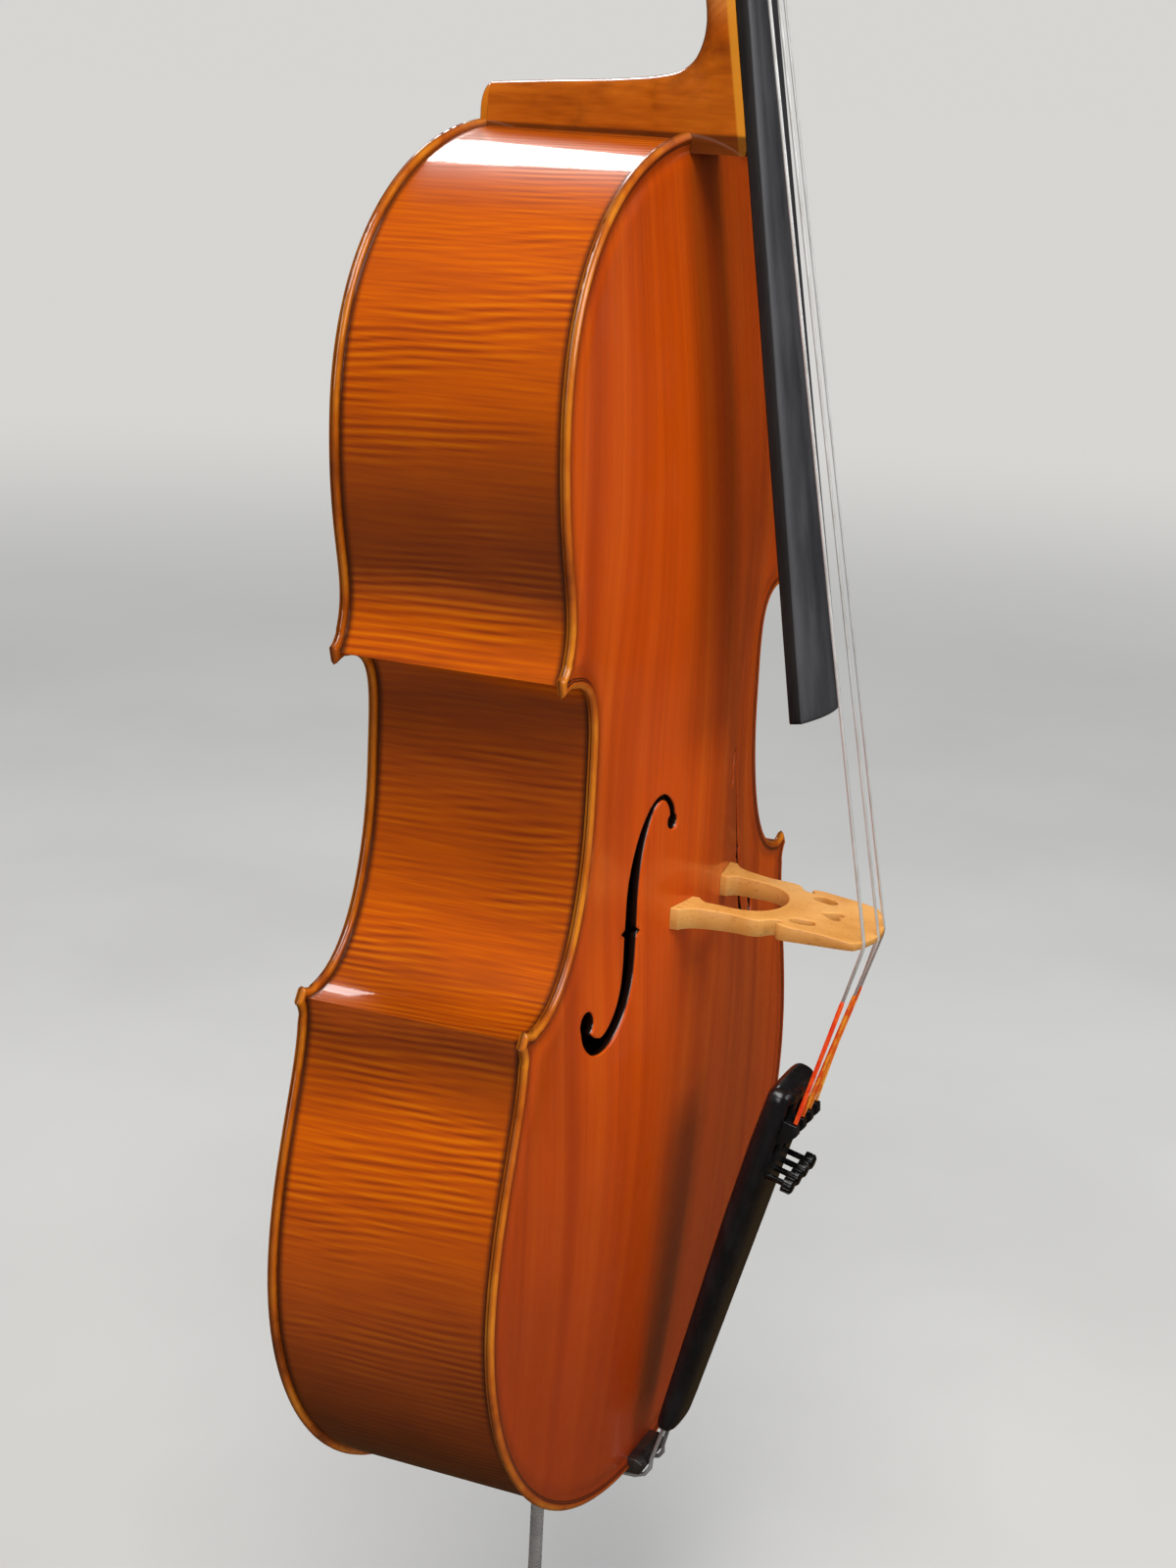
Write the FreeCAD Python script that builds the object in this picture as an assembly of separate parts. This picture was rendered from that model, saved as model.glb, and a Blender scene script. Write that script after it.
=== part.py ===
import FreeCAD, Part
import math
import os

# A cello standing on its endpin.  Millimetres, +Z up, front towards -Y,
# treble side +X.  The origin is the tip of the endpin, under the middle of
# the body.  Shapes are drawn with z = 0 at the bottom edge of the body and
# lifted by floor_gap when they are written out.

# ---- body ----
floor_gap = 260.0
body_length = 755.0
rib_half = 59.0
rib_thickness = 1.6
overhang = 3.5
beak_width = 1.5
beak_reach = 2.4
plate_thickness = 4.5
top_rise = 20.5
back_rise = 24.0
edge_flat = 10.0
taper_start = 480.0
taper_drop = 6.5
taper_span = 275.0
glue = 0.05
purfling_outer = 4.2
purfling_inner = 5.4
purfling_depth = 2.0
lining_thickness = 2.5
lining_height = 12.0
corner_block_radius = 34.0
block_half_width = 50.0
top_block_bottom = 724.0
bottom_block_top = 34.0
button_half_width = 14.0
button_top = 773.0

# ---- outline: widths and heights of the bouts, waist and corners ----
lower_width = 219.0
lower_height = 186.0
waist_width = 123.1
waist_height = 434.2
upper_width = 170.7
upper_height = 617.5
lower_corner = (193.4, 325.8)
upper_corner = (164.0, 502.9)

# ---- neck, fingerboard and pegbox, in the neck's own frame ----
nut_height = 1035.0
glue_line_y = -41.2
neck_angle = 80.89
board_length = 580.0
board_end_half = 31.5
board_nut_half = 16.0
board_side = 6.7
board_radius = 65.0
neck_depth_nut = 19.0
neck_depth_heel = 21.0
heel_bottom = 744.0
heel_back_half = 14.0
heel_front_half = 22.6
nut_length = 9.0
nut_side = 7.6
string_lift = 0.4
pegbox_slope = 0.185
scroll_centre = (168.0, -27.0)
scroll_radius = 33.0
scroll_decay = 0.12

# ---- pegs: along the pegbox, side (-1 bass, +1 treble) ----
peg_places = {"c": (28.0, -1), "a": (56.0, 1), "g": (86.0, -1), "d": (114.0, 1)}
peg_depth = 15.0
peg_radius_collar = 7.4
peg_radius_tip = 6.0
peg_fit = 0.05

# ---- strings: radius, x at nut, bridge and tailpiece ----
string_table = {
    "c": (0.95, -11.25, -23.0, -18.0),
    "g": (0.75, -3.75, -7.7, -6.0),
    "d": (0.55, 3.75, 7.7, 6.0),
    "a": (0.40, 11.25, 23.0, 18.0),
}
coil_turns = 4

# ---- bridge ----
bridge_back = 345.5
bridge_foot_front = 357.5
bridge_waist_front = 355.0
bridge_top_front = 348.6
bridge_foot_half = 46.0
bridge_top_radius = 54.0
bridge_crown = 183.0
bridge_lean = 0.07
bridge_string_sink = 0.3

# ---- tailpiece and its four fine tuners, in the tailpiece's own frame ----
tail_origin = (0.0, -76.0, 30.0)
tail_angle = 104.04
tail_length = 236.0
tail_slot_half = 3.2
tuner_pivot = (213.0, 8.0)
tuner_screw_at = 183.0
tuner_screw_radius = 1.7
tuner_pin_radius = 1.2
lever_half = 2.6

# ---- endpin ----
rod_radius = 4.0
rod_length = 450.0
rod_spigot_radius = 3.0
rod_spigot_length = 14.0
running = 0.05
socket_flange_radius = 16.0
ferrule_radius = 12.0
ferrule_top = -8.0
ferrule_bottom = -19.5
clamp_height = -14.0


def vec(x, y, z):
    return FreeCAD.Vector(x, y, z)


def mirrored(points):
    return [(-x, z) for x, z in reversed(points)]


def heading(degrees):
    angle = math.radians(degrees)
    return (math.cos(angle), math.sin(angle))


def step(point, direction, distance):
    return (point[0] + direction[0] * distance, point[1] + direction[1] * distance)


def cubic(poles, t):
    s = 1.0 - t
    weights = (s * s * s, 3 * s * s * t, 3 * s * t * t, t * t * t)
    return tuple(sum(w * p[k] for w, p in zip(weights, poles)) for k in (0, 1))


def curve_xz(poles, y=0.0):
    points = [vec(x, y, z) for x, z in poles]
    if len(points) == 2:
        return Part.LineSegment(points[0], points[1]).toShape()
    bezier = Part.BezierCurve()
    bezier.setPoles(points)
    return bezier.toShape()


def spline(points):
    line = Part.BSplineCurve()
    line.interpolate(points)
    return line.toShape()


def outline_half():
    """Right half of the body outline, bottom centre to top centre, as Bezier poles."""
    up = (0.0, 1.0)
    bottom = (0.0, 0.0)
    widest = (lower_width, lower_height)
    waist = (waist_width, waist_height)
    upper = (upper_width, upper_height)
    top = (0.0, body_length)
    low_dir = heading(72.2)
    low_tip = step(lower_corner, (-math.sin(math.radians(32.2)), math.cos(math.radians(32.2))), 6.8)
    waist_in = heading(6.6)
    up_dir = heading(57.7)
    up_tip = step(upper_corner, (-math.sin(math.radians(17.7)), -math.cos(math.radians(17.7))), 6.9)
    waist_out = (math.cos(math.radians(2.1)), -math.sin(math.radians(2.1)))
    leave = (-up_dir[0], up_dir[1])
    return [
        [bottom, (125.8, 0.0), step(widest, up, -96.3), widest],
        [widest, step(widest, up, 63.5), step(lower_corner, low_dir, -28.9), lower_corner],
        [lower_corner, low_tip],
        [low_tip, step(low_tip, waist_in, -48.2), step(waist, up, -49.6), waist],
        [waist, step(waist, up, 39.6), step(up_tip, waist_out, -43.7), up_tip],
        [up_tip, upper_corner],
        [upper_corner, step(upper_corner, leave, 36.8), step(upper, up, -69.3), upper],
        [upper, step(upper, up, 96.2), (85.2, body_length), top],
    ]


def outline_wire():
    half = outline_half()
    edges = [curve_xz(p) for p in half]
    edges += [curve_xz(mirrored(p)) for p in reversed(half)]
    return Part.Wire(edges)


def corner_beak(bout_end, waist_end, bout_way, waist_way):
    """Plan of one flared plate corner, reaching back inside the outline."""
    length = math.hypot(waist_end[0] - bout_end[0], waist_end[1] - bout_end[1])
    along = ((waist_end[0] - bout_end[0]) / length, (waist_end[1] - bout_end[1]) / length)
    out = (abs(along[1]), -along[0] if along[1] > 0 else along[0])
    bout_tip = step(step(bout_end, along, -beak_width), out, beak_reach)
    waist_tip = step(step(waist_end, along, beak_width), out, beak_reach)
    bout_root = step(step(bout_end, bout_way, -10.0), out, -0.8)
    waist_root = step(step(waist_end, waist_way, -11.0), along, -0.8)
    return [
        [bout_root, step(bout_root, bout_way, 6.0), step(bout_tip, out, -3.0), bout_tip],
        [bout_tip, waist_tip],
        [waist_tip, step(waist_tip, out, -3.0), step(waist_root, waist_way, 6.0), waist_root],
        [waist_root, bout_root],
    ]


def corner_beaks():
    """The four flared corners of a plate, as upright prisms."""
    half = outline_half()
    low = corner_beak(half[2][0], half[2][1], heading(72.2), heading(6.6))
    down = math.radians(2.1)
    high = corner_beak(half[5][1], half[5][0], (0.534, -0.845), (math.cos(down), -math.sin(down)))
    shapes = []
    for edges in (low, high):
        for poles in (edges, [mirrored(e) for e in reversed(edges)]):
            wire = Part.Wire([curve_xz(p) for p in poles])
            shapes.append(Part.Face(wire).extrude(vec(0, 300, 0)))
    for shape in shapes:
        shape.translate(vec(0, -150, 0))
    return shapes


def inset(distance):
    """Outline moved inwards, redrawn edge by edge as smooth splines."""
    offset = outline_wire().makeOffset2D(-distance, 0, False, False, True).Wires[0]
    edges = [spline(e.discretize(max(3, int(e.Length / 10) + 2))) for e in offset.OrderedEdges]
    return Part.Wire(Part.__sortEdges__(edges))


def prism(wire, y_start, y_end):
    face = Part.Face(wire)
    face.translate(vec(0, y_start - wire.BoundBox.YMin, 0))
    return face.extrude(vec(0, y_end - y_start, 0))


def ring(outer, inner, y_start, y_end):
    return prism(inset(outer), y_start, y_end).cut(prism(inset(inner), y_start - 1, y_end + 1))


def polygon_prism(points, y_start, y_end):
    corners = [vec(x, y_start, z) for x, z in points]
    face = Part.Face(Part.makePolygon(corners + corners[:1]))
    return face.extrude(vec(0, y_end - y_start, 0))


def side_prism(edges, half_width):
    """Closed side view in the YZ plane, made as thick as the given half width each way."""
    face = Part.Face(Part.Wire(edges))
    face.translate(vec(-half_width, 0, 0))
    return face.extrude(vec(2 * half_width, 0, 0))


def side_polygon(points, half_width):
    corners = [vec(0, y, z) for y, z in points]
    return side_prism(Part.makePolygon(corners + corners[:1]).Edges, half_width)


def top_tilt(z):
    """How far the top plate leans back towards the neck."""
    return taper_drop * max(0.0, (z - taper_start) / taper_span) ** 2


def rib_slab(front_gap, back_y):
    """Everything between the leaning front edge of the ribs and a flat back."""
    front = -rib_half + front_gap
    high = 790.0
    middle = (taper_start + high) / 2
    tilt = Part.BezierCurve()
    tilt.setPoles([vec(0, front, taper_start), vec(0, front, middle), vec(0, front + top_tilt(high), high)])
    corners = [
        vec(0, front + top_tilt(high), high),
        vec(0, back_y, high),
        vec(0, back_y, -40),
        vec(0, front, -40),
        vec(0, front, taper_start),
    ]
    edges = [tilt.toShape()] + Part.makePolygon(corners).Edges
    return side_prism(edges, 260.0)


# ---- arched plates ----
def arch_table():
    """Half width of the arched area against height, a smooth curve that skips the corners."""
    pieces = [
        [(0, 0), (124, 0), (218, 86), (218, 186)],
        [(218, 186), (218, 290), (121, 330), (121, 433)],
        [(121, 433), (121, 500), (170.5, 540), (170.5, 617)],
        [(170.5, 617), (170.5, 713), (86, 755), (0, 755)],
    ]
    return [cubic(p, k / 80.0) for p in pieces for k in range(81)]


def arch_width(z, table):
    for (x0, z0), (x1, z1) in zip(table, table[1:]):
        if z0 <= z <= z1 and z1 > z0:
            return x0 + (x1 - x0) * (z - z0) / (z1 - z0)
    return 0.0


def arch_height(x, z, rise, table):
    width = arch_width(z, table) - edge_flat
    along = min(abs(z - 377.0) / 367.0, 1.0)
    if width < 1.0:
        return 0.0
    across = min(abs(x) / width, 1.0)
    return rise * (1 - along ** 2.6) ** 1.3 * (1 - across * across) ** 2


def arch_face(rise, front):
    """Outer surface of a plate: front is True for the top, False for the back."""
    table = arch_table()
    rows = []
    for i in range(82):
        z = -20.0 + 10.0 * i
        row = []
        for k in range(-24, 25):
            x = 10.0 * k
            height = rib_half + plate_thickness + arch_height(x, z, rise, table)
            row.append(vec(x, top_tilt(z) - height if front else height, z))
        rows.append(row)
    surface = Part.BSplineSurface()
    surface.interpolate(rows)
    return surface.toShape()


TOP_FACE = arch_face(top_rise, True)
BACK_FACE = arch_face(back_rise, False)


def top_layer(start, end):
    """Layer of the top plate between two depths below its outer surface."""
    face = TOP_FACE.copy()
    face.translate(vec(0, start, 0))
    return face.extrude(vec(0, end - start, 0))


def back_layer(start, end):
    face = BACK_FACE.copy()
    face.translate(vec(0, -start, 0))
    return face.extrude(vec(0, start - end, 0))


def f_hole(side):
    upper_outer = [(42, 405), (43.8, 413.5), (49.5, 419.8), (56, 421.5), (63, 418), (70.5, 408.5),
                   (77.5, 394), (83, 376), (85.9, 355.5)]
    lower_outer = [(86.6, 351.5), (88.3, 338), (91, 326), (96, 315.5), (103, 307.8), (109.5, 304.3),
                   (115, 305.5)]
    lower_inner = [(128.6, 313), (126.5, 304.5), (121, 298.3), (114, 295.6), (106, 296.2), (97.5, 300.3),
                   (89.5, 307.5), (82.7, 317.5), (78.3, 330), (75.3, 350)]
    upper_inner = [(75, 354), (73.6, 369), (71.2, 384), (67.7, 398), (63, 410), (59, 416.3),
                   (55, 418.3), (51.5, 416.7), (48.8, 412.5), (48, 408)]

    def at(points):
        return [vec(side * x, -115, z) for x, z in points]

    nick_outer = at([(85.9, 355.5), (89.3, 353.5), (86.6, 351.5)])
    lower_eye_cross = at([(115, 305.5), (122, 312), (128.6, 313)])
    nick_inner = at([(75.3, 350), (72, 352), (75, 354)])
    upper_eye_cross = at([(48, 408), (42, 405)])
    edges = [spline(at(upper_outer))] + Part.makePolygon(nick_outer).Edges
    edges += [spline(at(lower_outer))] + Part.makePolygon(lower_eye_cross).Edges
    edges += [spline(at(lower_inner))] + Part.makePolygon(nick_inner).Edges
    edges += [spline(at(upper_inner))] + Part.makePolygon(upper_eye_cross).Edges
    slot = Part.Face(Part.Wire(edges)).extrude(vec(0, 70, 0))
    upper_eye = Part.makeCylinder(4.6, 70, vec(side * 45.5, -115, 405.2), vec(0, 1, 0))
    lower_eye = Part.makeCylinder(6.9, 70, vec(side * 122, -115, 314.5), vec(0, 1, 0))
    return slot.fuse([upper_eye, lower_eye])


def purfling_channel(margin, layer):
    return ring(purfling_outer - margin, purfling_inner + margin, -110, 110).common(layer)


def heel_plan(margin):
    """Tapered plan of the heel, deep enough to reach from the back button to the board."""
    back_y = rib_half - glue + margin
    slope = (heel_front_half - heel_back_half) / 145.0
    back_half = heel_back_half + margin - slope * margin
    front_half = heel_front_half + margin
    corners = [vec(-back_half, back_y, 0), vec(-front_half, -87, 0), vec(-front_half, -140, 0),
               vec(front_half, -140, 0), vec(front_half, -87, 0), vec(back_half, back_y, 0)]
    face = Part.Face(Part.makePolygon(corners + corners[:1]))
    face.translate(vec(0, 0, heel_bottom - margin))
    return face.extrude(vec(0, 0, 120))


def saddle_box(margin):
    half = 18.0 + margin
    return Part.makeBox(2 * half, 20, 12 + margin, vec(-half, -75, -3.0))


def top_plate():
    blank = prism(outline_wire(), -110, -30).fuse(corner_beaks())
    plate = blank.common(top_layer(0, plate_thickness))
    cutters = [purfling_channel(glue, top_layer(-1, purfling_depth + glue)), f_hole(-1), f_hole(1)]
    return plate.cut(cutters + [heel_plan(glue), saddle_box(glue)])


def back_plate():
    button_arc = [(-button_half_width, 752.0), (-button_half_width, 764.0), (0.0, button_top),
                  (button_half_width, 764.0), (button_half_width, 752.0)]
    points = [vec(x, 40, z) for x, z in button_arc]
    arc = Part.Arc(points[1], points[2], points[3]).toShape()
    lines = Part.makePolygon([points[3], points[4], points[0], points[1]]).Edges
    button = Part.Face(Part.Wire([arc] + lines)).extrude(vec(0, 60, 0))
    blank = prism(outline_wire(), 40, 100).fuse([button] + corner_beaks())
    plate = blank.common(back_layer(0, plate_thickness))
    return plate.cut(purfling_channel(glue, back_layer(-1, purfling_depth + glue)))


def top_purfling():
    strip = purfling_channel(0, top_layer(0, purfling_depth))
    return strip.cut([heel_plan(glue), saddle_box(glue)])


def back_purfling():
    return purfling_channel(0, back_layer(0, purfling_depth))


# ---- ribs, linings and blocks ----
def corner_tips():
    low = step(lower_corner, (-math.sin(math.radians(32.2)), math.cos(math.radians(32.2))), 3.4)
    high = step(upper_corner, (-math.sin(math.radians(17.7)), -math.cos(math.radians(17.7))), 3.4)
    return low, high


def bout_zone(name, side):
    """Area that holds the upper, centre or lower rib on one side, mitred at the corners."""
    low, high = corner_tips()
    low_dir = (0.78, 0.63)
    high_dir = (0.87, -0.48)
    low_out = step(low, low_dir, 30)
    low_in = step(low, low_dir, -75)
    high_out = step(high, high_dir, 30)
    high_in = step(high, high_dir, -75)
    near = glue / 2
    if name == "centre":
        points = [low_out, low_in, (near, low_in[1]), (near, high_in[1]), high_in, high_out]
    elif name == "lower":
        points = [(near, -20), (260, -20), (260, low_out[1]), low_out, low_in, (near, low_in[1])]
        points = [(x, z - glue) for x, z in points]
    else:
        points = [(near, high_in[1]), high_in, high_out, (260, high_out[1]), (260, 790), (near, 790)]
        points = [(x, z + glue) for x, z in points]
    return polygon_prism([(side * x, z) for x, z in points], -110, 110)


def endpin_taper(margin):
    return Part.makeCone(13.0 + margin, 11.0 + margin, 60, vec(0, 0, -4), vec(0, 0, 1))


RIB_RING = ring(overhang, overhang + rib_thickness, -70, 70)
RIB_INNER = overhang + rib_thickness + glue


def rib(name, side):
    band = RIB_RING.common(rib_slab(glue, rib_half - glue)).common(bout_zone(name, side))
    if name == "upper":
        return band.cut(heel_plan(glue))
    if name == "lower":
        return band.cut(endpin_taper(glue))
    return band


def block_area(low):
    return Part.makeBox(2 * block_half_width, 220, 60, vec(-block_half_width, -110, low))


def block_blank():
    return prism(inset(RIB_INNER), -70, 70).common(rib_slab(3 * glue, rib_half - glue))


def top_block():
    return block_blank().common(block_area(top_block_bottom)).cut(heel_plan(glue))


def bottom_block():
    return block_blank().common(block_area(bottom_block_top - 60)).cut(endpin_taper(glue))


def corner_blocks():
    blank = block_blank()
    low, high = corner_tips()
    pieces = []
    for side in (-1, 1):
        for x, z in (low, high):
            round_bar = Part.makeCylinder(corner_block_radius, 220, vec(side * x, -110, z), vec(0, 1, 0))
            pieces.append(blank.common(round_bar))
    return Part.makeCompound([s for p in pieces for s in p.Solids])


def grown_blocks():
    low, high = corner_tips()
    half = block_half_width + glue
    shapes = [
        Part.makeBox(2 * half, 220, 60, vec(-half, -110, top_block_bottom - glue)),
        Part.makeBox(2 * half, 220, 60, vec(-half, -110, bottom_block_top + glue - 60)),
    ]
    for side in (-1, 1):
        for x, z in (low, high):
            start = vec(side * x, -110, z)
            shapes.append(Part.makeCylinder(corner_block_radius + glue, 220, start, vec(0, 1, 0)))
    return shapes


def linings(front):
    band = ring(RIB_INNER, RIB_INNER + lining_thickness, -70, 70)
    if front:
        strip = rib_slab(glue, 0).cut(rib_slab(glue + lining_height, 1))
    else:
        strip = rib_slab(0, rib_half - glue).cut(rib_slab(-1, rib_half - glue - lining_height))
    return band.common(strip).cut(grown_blocks())


def bass_bar():
    bar_curve = Part.BezierCurve()
    bar_curve.setPoles([vec(0, -60.5, 88), vec(0, -55, 250), vec(0, -54.5, 500), vec(0, -58, 668)])
    corners = [vec(0, -58, 668), vec(0, -95, 668), vec(0, -95, 88), vec(0, -60.5, 88)]
    blank = side_prism([bar_curve.toShape()] + Part.makePolygon(corners).Edges, 5.0)
    blank.translate(vec(-25, 0, 0))
    return blank.cut(top_layer(-40, plate_thickness + glue))


def sound_post():
    post = Part.makeCylinder(5.5, 200, vec(24, -100, 326), vec(0, 1, 0))
    post = post.cut(top_layer(-40, plate_thickness + glue))
    return post.cut(back_layer(-40, plate_thickness + glue))


# ---- neck frame: x across, u up the neck, n out towards the strings ----
def from_neck(shape):
    shape = shape.copy()
    rotation = FreeCAD.Rotation(vec(1, 0, 0), neck_angle)
    shape.Placement = FreeCAD.Placement(vec(0, glue_line_y, nut_height), rotation).multiply(shape.Placement)
    return shape


def neck_point(x, u, n):
    rotation = FreeCAD.Rotation(vec(1, 0, 0), neck_angle)
    return rotation.multVec(vec(x, u, n)) + vec(0, glue_line_y, nut_height)


def board_half(u):
    return board_nut_half + (board_end_half - board_nut_half) * (-u / board_length)


def arched_section(half, side, u):
    """Fingerboard cross-section at a distance u along the neck."""
    middle = side + board_radius - math.sqrt(board_radius ** 2 - half ** 2)
    arc = Part.Arc(vec(-half, u, side), vec(0, u, middle), vec(half, u, side)).toShape()
    corners = [vec(half, u, side), vec(half, u, glue), vec(-half, u, glue), vec(-half, u, side)]
    base = Part.makePolygon(corners)
    return Part.Wire([arc] + base.Edges)


def fingerboard():
    sections = [arched_section(board_half(u), board_side, u) for u in (-board_length, -glue)]
    board = Part.makeLoft(sections, True, True)
    hollow = Part.makeCylinder(70, 285, vec(0, -board_length - 5, -66), vec(0, 1, 0))
    return from_neck(board.cut(hollow))


def nut():
    half = board_nut_half + 0.3
    sections = [arched_section(half, nut_side, u) for u in (glue, nut_length)]
    blank = Part.makeLoft(sections, True, True)
    slope = Part.makeBox(60, 20, 20, vec(-30, 0, 0))
    slope.Placement = FreeCAD.Placement(vec(0, 4.0, 9.8), FreeCAD.Rotation(vec(1, 0, 0), -24))
    blank = from_neck(blank.cut(slope))
    return blank.cut([string_core(name, peg_fit, 1) for name in string_table])


def half_round(half, depth, u):
    """D-shaped neck section: flat on the board side, elliptical behind."""
    left = vec(-half, u, 0)
    right = vec(half, u, 0)
    flank = 0.5523
    first = Part.BezierCurve()
    first.setPoles([left, vec(-half, u, -depth * flank), vec(-half * flank, u, -depth), vec(0, u, -depth)])
    second = Part.BezierCurve()
    second.setPoles([vec(0, u, -depth), vec(half * flank, u, -depth), vec(half, u, -depth * flank), right])
    return Part.Wire([first.toShape(), second.toShape(), Part.makeLine(right, left)])


def heel():
    top_line = [(58.9, 773.4), (25.0, 775.6), (-7.5, 777.6), (-28.7, 779.6), (-44.0, 782.6),
                (-54.0, 788.5), (-59.0, 798.0), (-60.5, 812.0)]
    curve = spline([vec(0, y, z) for y, z in top_line])
    slope = math.tan(math.radians(90 - neck_angle))
    front_high = glue_line_y + slope * (815 - nut_height)
    front_low = glue_line_y + slope * (heel_bottom - nut_height)
    corners = [vec(0, -60.5, 812), vec(0, front_high, 815), vec(0, front_low, heel_bottom),
               vec(0, 58.9, heel_bottom), vec(0, 58.9, 773.4)]
    profile = side_prism([curve] + Part.makePolygon(corners).Edges, 30.0)
    return profile.common(heel_plan(0))


def neck_shaft():
    low = -248.0
    lower_end = half_round(board_half(low), neck_depth_heel, low)
    nut_end = half_round(board_nut_half, neck_depth_nut, 0.0)
    return from_neck(Part.makeLoft([lower_end, nut_end], True, True))


def profile_in_neck(points, half_width, curved=False):
    """Side view given as (u, n) points, made thick across the neck."""
    corners = [vec(-half_width, u, n) for u, n in points]
    if curved:
        edges = [spline(corners), Part.makeLine(corners[-1], corners[0])]
    else:
        edges = Part.makePolygon(corners + corners[:1]).Edges
    return Part.Face(Part.Wire(edges)).extrude(vec(2 * half_width, 0, 0))


def spiral(start, end, half_width, trim):
    """Area inside the scroll's spiral from one turn angle to another, made thick across the head."""
    points = []
    steps = int((end - start) / 0.3)
    for k in range(steps + 1):
        turn = start + (end - start) * k / steps
        radius = scroll_radius * math.exp(-scroll_decay * turn) - trim
        u = scroll_centre[0] + radius * math.sin(turn)
        n = scroll_centre[1] - radius * math.cos(turn)
        points.append((u, n))
    return profile_in_neck(points, half_width, True)


def pegbox_front(u):
    return -pegbox_slope * (u - nut_length)


def plan_taper(half_start, half_end, start, end):
    corners = [vec(-half_start, start, -90), vec(-half_end, end, -90), vec(half_end, end, -90),
               vec(half_start, start, -90)]
    return Part.Face(Part.makePolygon(corners + corners[:1])).extrude(vec(0, 0, 120))


def peg_centre(name):
    u, side = peg_places[name]
    return u, pegbox_front(u) - peg_depth, side


def peg_cone(name, margin):
    """Tapered shaft of a peg lying across the pegbox."""
    u, n, side = peg_centre(name)
    outer = side * (box_half(u) + 3.0)
    length = 2 * box_half(u) + 3.5
    return Part.makeCone(peg_radius_collar + margin, peg_radius_tip + margin, length,
                         vec(outer, u, n), vec(-side, 0, 0))


def box_half(u):
    return 21.0 - 6.0 * (u + 5) / 150.0


def pegbox():
    outline = [(-16, -17.5), (-16, -1), (0, 0), (nut_length, 0), (144, pegbox_front(144)), (158, -24),
               (158, -58.5), (135, -56), (110, -51), (60, -44), (16, -39), (6, -34), (-2, -25), (-8, -20)]
    body = profile_in_neck(outline, 30).common(plan_taper(20.8, 14.5, -16, 160))
    cavity_side = [(13, 5), (13, -29), (60, -37), (105, -43.8), (128, -46.5), (136, -12)]
    cavity = profile_in_neck(cavity_side, 30).common(plan_taper(12.9, 7.8, 12, 135))
    head = body.fuse(spiral(0.0, 6.28, 17.0, 0.0))
    head = head.fuse(spiral(2.8, 9.0, 22.5, 0.6))
    head = head.fuse(spiral(6.0, 12.3, 27.0, 1.2))
    head = head.fuse(Part.makeCylinder(7.0, 63, vec(-31.5, scroll_centre[0], scroll_centre[1]), vec(1, 0, 0)))
    return from_neck(head.cut([cavity] + [peg_cone(name, peg_fit) for name in peg_places]))


def neck_and_scroll():
    return heel().fuse([neck_shaft(), pegbox()]).removeSplitter()


def oval_bar(centre, long_half, short_half, thick_half):
    ellipse = Part.Ellipse(centre + long_half, centre + short_half, centre).toShape()
    face = Part.Face(Part.Wire([ellipse]))
    face.translate(thick_half * -1)
    return face.extrude(thick_half * 2)


def peg(name):
    """Peg drawn with its thumb piece on the treble side and turned round for the bass side."""
    u, n, side = peg_centre(name)
    half = box_half(u)
    face = half + 3.0
    tip = vec(-half - 0.5, u, n)
    shaft = Part.makeCone(peg_radius_tip, peg_radius_collar, 2 * half + 3.5, tip, vec(1, 0, 0))
    collar = Part.makeCylinder(9.5, 4, vec(face, u, n), vec(1, 0, 0))
    stem = Part.makeCone(6.4, 5.0, 10, vec(face + 4, u, n), vec(1, 0, 0))
    centre = vec(face + 29, u, n)
    thumb = oval_bar(centre, vec(20, 0, 0), vec(0, 14.5, 0), vec(0, 0, 6.5))
    thumb = thumb.common(oval_bar(centre, vec(24, 0, 0), vec(0, 0, 6.6), vec(0, 15, 0)))
    pip = Part.makeSphere(2.6, vec(face + 48.5, u, n))
    whole = shaft.fuse([collar, stem, thumb, pip])
    if side < 0:
        whole.rotate(vec(0, u, n), vec(0, 0, 1), 180)
    return from_neck(whole)


# ---- strings ----
def bridge_crown_at(x):
    """Height of the crown, a little higher on the bass side."""
    return bridge_crown - bridge_lean * x - (bridge_top_radius - math.sqrt(bridge_top_radius ** 2 - x * x))


def winding_radius(name):
    u, n, side = peg_centre(name)
    return peg_radius_collar - 0.35 + string_table[name][0]


def coil_start(name):
    return -5.5 if peg_places[name][1] < 0 else 5.5


def string_path(name):
    """Four points: tuner hook, bridge, nut and the top of the winding on the peg."""
    radius, nut_x, bridge_x, tail_x = string_table[name]
    hook = tail_point(tail_x, tuner_pivot[0] + 6.0, tuner_pivot[1] + 12.0)
    bridge = vec(bridge_x, -(bridge_crown_at(bridge_x) + radius - bridge_string_sink), bridge_back + 1.5)
    edge_drop = math.sqrt(board_radius ** 2 - board_nut_half ** 2)
    level = board_side + math.sqrt(board_radius ** 2 - nut_x ** 2) - edge_drop
    nut_n = level + string_lift + radius
    nut_u = 4.2
    peg_u, peg_n, side = peg_centre(name)
    reach = winding_radius(name) + 2 * radius + 0.15
    away_u = nut_u - peg_u
    away_n = nut_n - peg_n
    distance = math.hypot(away_u, away_n)
    swing = math.acos(reach / distance)
    base = math.atan2(away_n, away_u)
    touch_u = peg_u + reach * math.cos(base - swing)
    touch_n = peg_n + reach * math.sin(base - swing)
    return [hook, bridge, neck_point(nut_x, nut_u, nut_n), neck_point(coil_start(name), touch_u, touch_n)]


def rod_between(start, end, radius):
    axis = end - start
    return Part.makeCylinder(radius, axis.Length, start, axis)


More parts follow.
